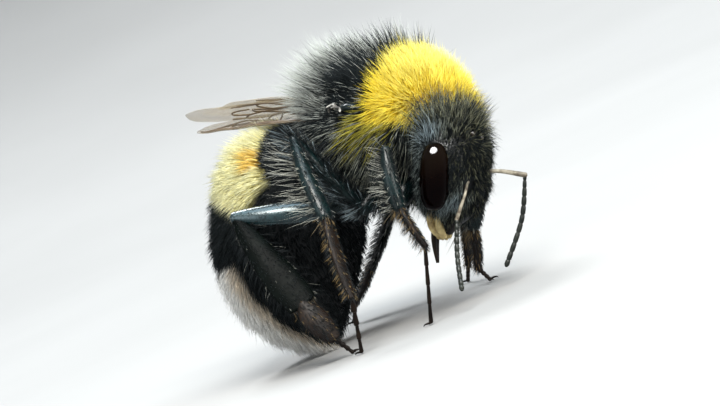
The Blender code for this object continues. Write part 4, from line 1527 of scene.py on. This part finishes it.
def make_head_coat():
    """Short fur over the face, longer and upright on the crown."""
    rng = np.random.default_rng(SEEDS["head"])
    tone, coat = colours(), HEAD_COAT
    roots = clear_of_eyes(on_skin(scatter(head_grid(), sizes().head_hairs, rng)))
    own_places = (roots.places - own(HEAD_PLACE)) @ HEAD
    height, aside, ahead = own_places[:, 2], np.abs(own_places[:, 0]), -own_places[:, 1]
    keep = ~((height < MOUTH_TOP) & (ahead > 0.2) & (aside < MOUTH_HALF_WIDTH))
    keep &= head_clearings(own_places)
    plate = mound((height, aside), FACE_PLATE) * (ahead > 0.3)
    keep &= rng.random(len(roots)) > 0.65 * plate
    roots, own_places = roots.keep(keep), own_places[keep]
    height, aside, ahead = height[keep], aside[keep], ahead[keep]
    count = len(roots)
    crown = ease(0.35, 1.2, height)
    guard = rng.random(count) < by_region(coat["guard_share"], {"crown": crown})
    regions = {
        "crown": crown,
        "brow": mound((height, aside, ahead), BROW),
        "over_eye": mound((height, aside, ahead), OVER_EYE),
        "beard": mound((height, aside), BEARD) * (ahead > 0),
        "cheek": ease(0.3, -0.1, ahead) * (1 - crown),
        "long": by_region(coat["guard_length"], {"crown": crown}) * guard,
    }

    normals = roots.normals
    up, outward = HEAD @ np.array((0, 0, 1.0)), HEAD @ np.array((1.0, 0, 0))
    down = tangent(normals, -up)
    fan = tangent(normals, outward) * np.sign(own_places[:, 0])[:, None]
    leaning = locks(roots.places, frequency=12.0, seed=61)
    start = normals * by_region(coat["start_stand"], regions)[:, None]
    start = start + down * by_region(coat["start_down"], regions)[:, None]
    start = start + fan * 0.22 + spread(rng, count, 0.14) + leaning * 0.2
    end = normals * by_region(coat["end_stand"], regions)[:, None]
    end = end + down * by_region(coat["end_down"], regions)[:, None]
    end = end + fan * 0.30 + spread(rng, count, 0.26) + leaning * 0.4

    length = by_region(coat["length"], regions)
    length *= 1 - coat["ocelli_loss"] * near_ocelli(own_places)
    length *= rng.uniform(0.7, 1.15, count) * sizes().coat_length
    width = sizes().hair_width * 0.72 * rng.uniform(0.7, 1.2, count) * np.where(guard, 0.8, 1.0)

    root_tint = rows_of(tone.black, count)
    dark = root_tint * coat["dark_tip"]
    # Painted sheen: the pale tips on the brow and cheeks take the sky's bluish reflection, and the
    # beard's tips lean towards the same colour
    pale = mixed(tone.olive_grey, np.array(tone.sheen_blue_grey) * 1.15, regions["beard"])
    pale = mixed(pale, tone.sheen_blue_grey, np.clip(regions["brow"] * 1.2 + 0.6 * regions["cheek"], 0, 1))
    tip_tint, _ = some_pale(rng, dark, pale, by_region(coat["pale_chance"], regions))
    shade = rng.uniform(0.6, 1.3, (count, 1))
    tip_tint = np.clip(tip_tint * shade, 0, 1)
    hairs("coat_head", roots, start, end, length, width, root_tint * shade, tip_tint, rng, rows=2)


def near_ocelli(own_places):
    """1 at the three small eyes, falling to 0 a little way off."""
    near = np.zeros(len(own_places))
    for place in OCELLI:
        away = np.linalg.norm(own_places - own(place), axis=1)
        near = np.maximum(near, mound((away,), OCELLUS_LOW_COAT))
    return near


def head_clearings(own_places):
    """False at the feelers' roots, along both scapes and over the three small eyes."""
    free = np.ones(len(own_places), bool)
    spots = [(own(place), OCELLUS_CLEARING) for place in OCELLI]
    for side in ("left", "right"):
        for place in spline(SCAPES[side], np.linspace(0, 1, 6)):
            spots.append((own(place), SCAPE_CLEARING))
    for centre, radius in spots:
        free &= np.linalg.norm(own_places - centre, axis=1) > radius
    return free


def make_abdomen_coat():
    """The abdomen's bands: black, lemon yellow, black and the white tail, and a thin dark belly coat."""
    rng = np.random.default_rng(SEEDS["abdomen"])
    coat = ABDOMEN_COAT
    roots = on_skin(scatter(abdomen_grid(), sizes().abdomen_hairs, rng))
    dorsal = np.sin(2 * np.pi * roots.around)
    keep = rng.random(len(roots)) < 0.35 + 0.65 * ease(-0.5, 0.0, dorsal)
    roots, dorsal = roots.keep(keep), dorsal[keep]
    count, along = len(roots), roots.along
    root_tint, tip_tint, band, white = abdomen_marking(roots.places, along, roots.around)
    clumps = locks(roots.places, frequency=8.0, seed=91)
    regions = {
        "waist": ease(0.2, 0.1, along),
        "shoulder": mound((along,), ABDOMEN_SHOULDER) * ease(0.35, 0.85, dorsal),
        "belly": ease(0.0, -0.5, dorsal),
        "white": white,
    }
    start = roots.normals * by_region(coat["start_stand"], regions)[:, None] + roots.forward * 0.55
    end = roots.normals * by_region(coat["end_stand"], regions)[:, None] + roots.forward * 1.0
    start = start + spread(rng, count, 0.12) + clumps * 0.15
    end = end + spread(rng, count, 0.22) + clumps * 0.3
    guard = regions["guard"] = rng.random(count) < 0.2
    length = by_region(coat["length"], regions)
    length *= 1 - coat["dark_loss"] * ease(0.13, 0.18, along) * (band < 0.5) * (along < 0.3)
    length = length * rng.uniform(0.7, 1.12, count) * sizes().coat_length
    width = sizes().hair_width * rng.uniform(0.8, 1.25, count) * np.where(guard, 0.75, 1.0)
    shade = rng.uniform(0.75, 1.15, (count, 1))
    band_start, band_end = YELLOW_BAND
    zones = {
        "coat_waist": along < band_start,
        "coat_band": (along >= band_start) & (along < band_end),
        "coat_dark_band": (along >= band_end) & (along < WHITE_TAIL_START),
        "coat_tail": along >= WHITE_TAIL_START,
    }
    grow_zones(zones, roots, start, end, length, width, root_tint * shade, tip_tint * shade, rng)


def limb_hair(kind, row, limb, fringe_way, opened, pale, rng):
    """Roots of one length of a leg with the ways, lengths, widths and colours of their hairs."""
    amount, short, fringe, pale_share = LEG_HAIR[kind, row]
    on_shin, on_foot = kind == "tibia", kind == "basitarsus"
    tone, coat = colours(), LEG_COAT
    path, shape, flat = limb
    roots = scatter(limb_grid(path, shape, flat, rows=30, count=24), amount, rng)
    count = len(roots)
    axis = unit(path[-1] - path[0])
    rear = ease(0.15, 0.75, roots.normals @ fringe_way)
    way = rows_of(fringe_way, count)
    if on_shin and row == "hind":
        ahead_edge = ease(0.5, 0.9, roots.normals @ flat)
        way[ahead_edge > 0] = flat
        rear = np.maximum(rear, ahead_edge)
    guard = rng.random(count) < by_region(coat["guard_share"], {"rear": rear})
    free = opened * rear * on_shin
    regions = {"rear": rear, "free": free, "on_foot": on_foot}

    # Hairs lie along the leg, and the free fringe of a shin opens like a fan
    way = way * (0.8 * rear + 0.25 * free)[:, None]
    turn = 1.05 * roots.along - 0.72
    along_start = 0.75 * (1 - free) + turn * free
    along_end = 1.0 * (1 - free) + (turn + 0.2) * free
    start = roots.normals * by_region(coat["start_stand"], regions)[:, None]
    start = start + axis * along_start[:, None] + way
    end = roots.normals * by_region(coat["end_stand"], regions)[:, None]
    end = end + axis * along_end[:, None] + way
    leaning = locks(roots.places, frequency=11.0, seed=500) * by_region(coat["locks"], regions)[:, None]
    start = start + leaning * 0.5 + spread(rng, count, 0.12)
    end = end + leaning + spread(rng, count, 0.2) * (1 + 0.8 * free)[:, None]

    dark = rows_of(tone.black, count) * (1.3 if on_foot else 1.0)
    end_fringe = ease(0.93, 0.97, roots.along) if on_shin else np.zeros(count)
    all_round = 0.45 if on_foot else 0.15
    chance = pale_share * (all_round + (1 - all_round) * rear) + 0.7 * end_fringe
    tip, is_pale = some_pale(rng, dark * coat["dark_tip"], np.array(pale), chance)
    tip = mixed(tip, tone.tan, end_fringe * is_pale)
    length = (short + fringe * rear * guard + 0.12 * end_fringe) * rng.uniform(0.7, 1.12, count)
    fineness = {"plain": np.where(guard, 0.62, 0.7), **coat["fineness"]}
    width = sizes().hair_width * by_region(fineness, regions) * rng.uniform(0.75, 1.15, count)
    pale_to_root = is_pale & (on_foot | (free > 0.1))
    root = np.where(pale_to_root[:, None], tip * (0.5 if on_foot else 0.3), dark)
    return roots, start, end, length, width, root, tip


def make_leg_coats():
    """Short dark hair over each leg, pale-tipped fringes on the shins and golden hairs on the feet."""
    tone = colours()
    backwards = np.array((0, 1.0, 0))
    for order, name in enumerate(LEGS):
        rng = np.random.default_rng(SEEDS["legs"] + order)
        _, lengths, flat = leg_lengths(name)
        row = name.split("_")[0]
        opened = 1.0 if leg_side(name) < 0 and row != "hind" else 0.0
        outward = np.array((leg_side(name), 0, 0), float)
        fringe_way = unit(-flat * 0.3 + backwards * 0.9 + outward * 0.25 * opened)
        # The coxae and thighs of the middle legs take the painted bluish sheen in their pale tips
        flank_tip = tone.sheen_blue_grey if row == "mid" else tone.side_tip
        roots, *values = zip(*(
            limb_hair(kind, row, lengths[kind], fringe_way, opened, pale, rng)
            for kind, pale in (
                ("coxa", flank_tip), ("femur", flank_tip),
                ("tibia", tone.pale_tip), ("basitarsus", tone.tan),
            )
        ))
        values = (np.concatenate(value) for value in values)
        hairs(f"coat_leg_{name}", Roots.together(roots), *values, rng, finish="fringe_hair")


# ---------------------------------------------------------------- stage


def camera_axes():
    """Right, up and towards the camera, in the world."""
    azimuth, elevation, roll = (math.radians(v) for v in (CAMERA_AZIMUTH, CAMERA_ELEVATION, CAMERA_ROLL))
    level = math.cos(elevation)
    towards = np.array((math.sin(azimuth) * level, -math.cos(azimuth) * level, math.sin(elevation)))
    level_right = np.array((math.cos(azimuth), math.sin(azimuth), 0.0))
    level_up = np.cross(towards, level_right)
    right = math.cos(roll) * level_right - math.sin(roll) * level_up
    up = math.cos(roll) * level_up + math.sin(roll) * level_right
    return right, up, towards


def link_light(light, pieces, state):
    """Let a light reach only the given pieces, or all but them."""
    group = bpy.data.collections.new("reach_of_" + light.name)
    for piece in pieces:
        group.objects.link(piece)
    light.light_linking.receiver_collection = group
    for member in group.collection_objects:
        member.light_linking.link_state = state


def add_light(name, way, distance, width, height, power, colour):
    """A soft oval light that looks at the thorax; its way is right, up and towards the camera."""
    right, up, towards = camera_axes()
    direction = unit(right * way[0] + up * way[1] + towards * way[2])
    data = bpy.data.lights.new(name, "AREA")
    data.shape = "ELLIPSE"
    data.size = width * MM
    data.size_y = height * MM
    data.energy = power
    data.color = colour
    light = bpy.data.objects.new(name, data)
    light.location = Vector((THORAX_CENTRE + direction * distance) * MM)
    level = unit(right - direction * (right @ direction))
    turn = np.stack([level, np.cross(direction, level), direction], axis=1)
    light.rotation_euler = Matrix(turn.tolist()).to_euler()
    bpy.context.scene.collection.objects.link(light)
    return light


def make_floor():
    """A flat disc that curves up into a wall all round."""
    rings = [(FLAT_RADIUS * 0.5, 0.0), (FLAT_RADIUS, 0.0)]
    for step in range(1, WALL_STEPS + 1):
        share = step / WALL_STEPS
        rings.append((FLAT_RADIUS + (FLOOR_RADIUS - FLAT_RADIUS) * share, WALL_HEIGHT * share**2))
    count = FLOOR_SIDES
    turns = [2 * math.pi * i / count for i in range(count)]
    points = [(0.0, 0.0, 0.0)]
    for radius, height in rings:
        points += [(radius * math.cos(turn), radius * math.sin(turn), height) for turn in turns]
    faces = [(0, 1 + i, 1 + (i + 1) % count) for i in range(count)]
    for row in range(len(rings) - 1):
        low, high = 1 + row * count, 1 + (row + 1) * count
        for i in range(count):
            k = (i + 1) % count
            faces.append((low + i, high + i, high + k, low + k))
    mesh = bpy.data.meshes.new("floor")
    mesh.from_pydata([tuple(c * MM for c in p) for p in points], [], faces)
    mesh.shade_smooth()
    pale = Finish("floor_pale", (0.455, 0.452, 0.443), 0.8)
    pale.colour(pale.ramp(pale.noise(0.05), (0.3, (0.44, 0.437, 0.428)), (0.7, (0.47, 0.467, 0.458))))
    return add_object("floor", mesh, pale.made)


def make_camera():
    """A long lens a little above the floor, rolled against it."""
    right, up, towards = camera_axes()
    data = bpy.data.cameras.new("camera")
    data.sensor_width = SENSOR
    data.lens = LENS
    data.clip_start = CLIP_START * MM
    data.clip_end = CLIP_END * MM
    camera = bpy.data.objects.new("camera", data)
    centre = THORAX_CENTRE - right * FRAME_OFFSET[0] - up * FRAME_OFFSET[1]
    camera.location = Vector((centre + towards * CAMERA_DISTANCE) * MM)
    camera.rotation_euler = Matrix(np.stack([right, up, towards], axis=1).tolist()).to_euler()
    bpy.context.scene.collection.objects.link(camera)
    bpy.context.scene.camera = camera


def make_stage():
    """The floor, the soft lights and the camera. The two large eyes have a light of their own."""
    floor = make_floor()
    floor.visible_glossy = False

    world = bpy.data.worlds.new("studio")
    bpy.context.scene.world = world
    world.use_nodes = True
    background = world.node_tree.nodes["Background"]
    background.inputs["Color"].default_value = (*SKY_COLOUR, 1.0)
    background.inputs["Strength"].default_value = SKY_STRENGTH

    eyes = [bpy.data.objects[f"eye_{side}_lens"] for side in ("right", "left")]
    for light in STUDIO_LIGHTS:
        link_light(add_light(*light), eyes, "EXCLUDE")
    eye_light = add_light(*EYE_LIGHT)
    eye_light.visible_diffuse = False
    link_light(eye_light, eyes, "INCLUDE")

    make_camera()
    bpy.context.scene.view_settings.view_transform = "Standard"


# ---------------------------------------------------------------- add-on


def colour_property(name, description, default):
    """One colour of the panel."""
    return FloatVectorProperty(
        name=name, description=description, default=default, min=0.0, max=1.0, subtype="COLOR", size=3,
    )


def amount_property(name, description, default, most):
    """One number of hairs of the panel."""
    return IntProperty(name=name, description=description, default=default, min=1000, max=most)


class BeeColours(bpy.types.PropertyGroup):
    """Colours of the coat; the skin under it has the same ones."""

    # Black with a faint teal tint, a painted sheen of the bluish sky
    black: colour_property("Black", "Roots of the dark hairs", (0.007, 0.010, 0.011))
    yellow: colour_property("Yellow", "Roots of the collar's hairs", (1.0, 0.74, 0.02))
    # The paler yellow of the painted highlight on the collar's top and front
    highlight_yellow: colour_property("Pale yellow", "Tips of the collar's hairs", (1.0, 0.93, 0.30))
    lemon: colour_property("Lemon", "Roots of the yellow band on the abdomen", (0.98, 0.88, 0.34))
    lemon_tip: colour_property("Lemon tips", "Tips of the yellow band on the abdomen", (1.0, 0.98, 0.66))
    white: colour_property("White", "Roots of the tail's hairs", (0.92, 0.90, 0.84))
    white_tip: colour_property("White tips", "Tips of the tail's hairs", (1.0, 0.99, 0.96))
    buff: colour_property("Buff", "The brownish edge of the tail", (0.42, 0.27, 0.10))
    orange: colour_property("Orange", "The spot at each end of the yellow band", (0.95, 0.62, 0.09))
    # Painted backlight: the pale grey of the hair tips on the rear of the thorax
    backlit_grey_tip: colour_property("Grey tips", "Tips of hairs on the rear of the thorax", (0.82, 0.86, 0.78))
    side_tip: colour_property("Side tips", "Pale tips among the hairs of the sides", (0.46, 0.48, 0.38))
    olive: colour_property("Olive", "Straggling hairs below the collar", (0.50, 0.44, 0.05))
    olive_grey: colour_property("Olive grey", "Pale tips on the crown and face", (0.29, 0.29, 0.18))
    # A painted sheen: the sky's bluish reflection in the hair tips
    sheen_blue_grey: colour_property("Blue grey", "Tips on brow, cheeks and middle thighs", (0.38, 0.48, 0.52))
    pale_tip: colour_property("Pale tips", "Tips of the fringes on the shins", (0.84, 0.84, 0.72))
    tan: colour_property("Tan", "Hairs of the feet and the ends of the shins", (0.44, 0.30, 0.13))


class BeeSizes(bpy.types.PropertyGroup):
    """Sizes of the coat and its numbers of hairs."""

    coat_length: FloatProperty(
        name="Coat length", description="Length of the body's hairs against life",
        default=1.0, min=0.3, max=1.5, subtype="FACTOR",
    )
    hair_width: FloatProperty(
        name="Hair width", description="Half the width of a hair at its root in millimetres",
        default=0.017, min=0.005, max=0.05,
    )
    thorax_hairs: amount_property("Thorax hairs", "Hairs sown over the thorax", 33000, 60000)
    head_hairs: amount_property("Head hairs", "Hairs sown over the head", 17000, 30000)
    abdomen_hairs: amount_property("Abdomen hairs", "Hairs sown over the abdomen", 40000, 60000)


class BEE_OT_body_skin(bpy.types.Operator):
    """Build one skin over head, thorax and abdomen"""

    bl_idname = "bee.body_skin"
    bl_label = "Body skin"

    def execute(self, context):
        make_body_skin()
        return {"FINISHED"}


class BEE_OT_eyes(bpy.types.Operator):
    """Build the two large eyes and the three small ones"""

    bl_idname = "bee.eyes"
    bl_label = "Eyes"

    def execute(self, context):
        make_eyes()
        return {"FINISHED"}


class BEE_OT_face(bpy.types.Operator):
    """Build the jaws, the lip plate and the tongue"""

    bl_idname = "bee.face"
    bl_label = "Face"

    def execute(self, context):
        make_face()
        return {"FINISHED"}


class BEE_OT_antennae(bpy.types.Operator):
    """Build both feelers"""

    bl_idname = "bee.antennae"
    bl_label = "Antennae"

    def execute(self, context):
        make_antennae()
        return {"FINISHED"}


class BEE_OT_wings(bpy.types.Operator):
    """Build both pairs of wings and their roots"""

    bl_idname = "bee.wings"
    bl_label = "Wings"

    def execute(self, context):
        make_wings()
        return {"FINISHED"}


class BEE_OT_legs(bpy.types.Operator):
    """Build six legs with their feet and claws"""

    bl_idname = "bee.legs"
    bl_label = "Legs"

    def execute(self, context):
        make_legs()
        return {"FINISHED"}


class BEE_OT_thorax_coat(bpy.types.Operator):
    """Grow the collar and the dark hair of the back and sides"""

    bl_idname = "bee.thorax_coat"
    bl_label = "Thorax coat"

    def execute(self, context):
        make_thorax_coat()
        return {"FINISHED"}


class BEE_OT_head_coat(bpy.types.Operator):
    """Grow the short fur of the head"""

    bl_idname = "bee.head_coat"
    bl_label = "Head coat"

    def execute(self, context):
        make_head_coat()
        return {"FINISHED"}


class BEE_OT_abdomen_coat(bpy.types.Operator):
    """Grow the bands of the abdomen"""

    bl_idname = "bee.abdomen_coat"
    bl_label = "Abdomen coat"

    def execute(self, context):
        make_abdomen_coat()
        return {"FINISHED"}


class BEE_OT_leg_coats(bpy.types.Operator):
    """Grow the short hair and fringes of the legs"""

    bl_idname = "bee.leg_coats"
    bl_label = "Leg coats"

    def execute(self, context):
        make_leg_coats()
        return {"FINISHED"}


class BEE_OT_stage(bpy.types.Operator):
    """Set up the floor, the lights and the camera"""

    bl_idname = "bee.stage"
    bl_label = "Stage"

    def execute(self, context):
        make_stage()
        return {"FINISHED"}


STEPS = (
    BEE_OT_body_skin,
    BEE_OT_eyes,
    BEE_OT_face,
    BEE_OT_antennae,
    BEE_OT_wings,
    BEE_OT_legs,
    BEE_OT_thorax_coat,
    BEE_OT_head_coat,
    BEE_OT_abdomen_coat,
    BEE_OT_leg_coats,
    BEE_OT_stage,
)


class BEE_PT_panel(bpy.types.Panel):
    """The bee's steps, sizes and colours"""

    bl_label = "Bumblebee"
    bl_idname = "BEE_PT_panel"
    bl_space_type = "VIEW_3D"
    bl_region_type = "UI"
    bl_category = "Bee"

    def draw(self, context):
        """A button for each step, then the sizes and the colours."""
        for made in STEPS:
            self.layout.operator(made.bl_idname)
        for group in (context.scene.bee_sizes, context.scene.bee_colours):
            for name in group.bl_rna.properties.keys():
                if name not in ("rna_type", "name"):
                    self.layout.prop(group, name)


CLASSES = (BeeColours, BeeSizes, *STEPS, BEE_PT_panel)


def register():
    """Make the classes known and hang their settings on the scene."""
    for made in CLASSES:
        bpy.utils.register_class(made)
    bpy.types.Scene.bee_colours = PointerProperty(type=BeeColours)
    bpy.types.Scene.bee_sizes = PointerProperty(type=BeeSizes)


def unregister():
    """Take it all away again."""
    del bpy.types.Scene.bee_sizes
    del bpy.types.Scene.bee_colours
    for made in reversed(CLASSES):
        bpy.utils.unregister_class(made)


def main():
    """Build the whole bee."""
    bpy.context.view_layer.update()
    register()
    bpy.ops.bee.body_skin()
    bpy.ops.bee.eyes()
    bpy.ops.bee.face()
    bpy.ops.bee.antennae()
    bpy.ops.bee.wings()
    bpy.ops.bee.legs()
    bpy.ops.bee.thorax_coat()
    bpy.ops.bee.head_coat()
    bpy.ops.bee.abdomen_coat()
    bpy.ops.bee.leg_coats()
    bpy.ops.bee.stage()


if __name__ == "__main__":
    main()
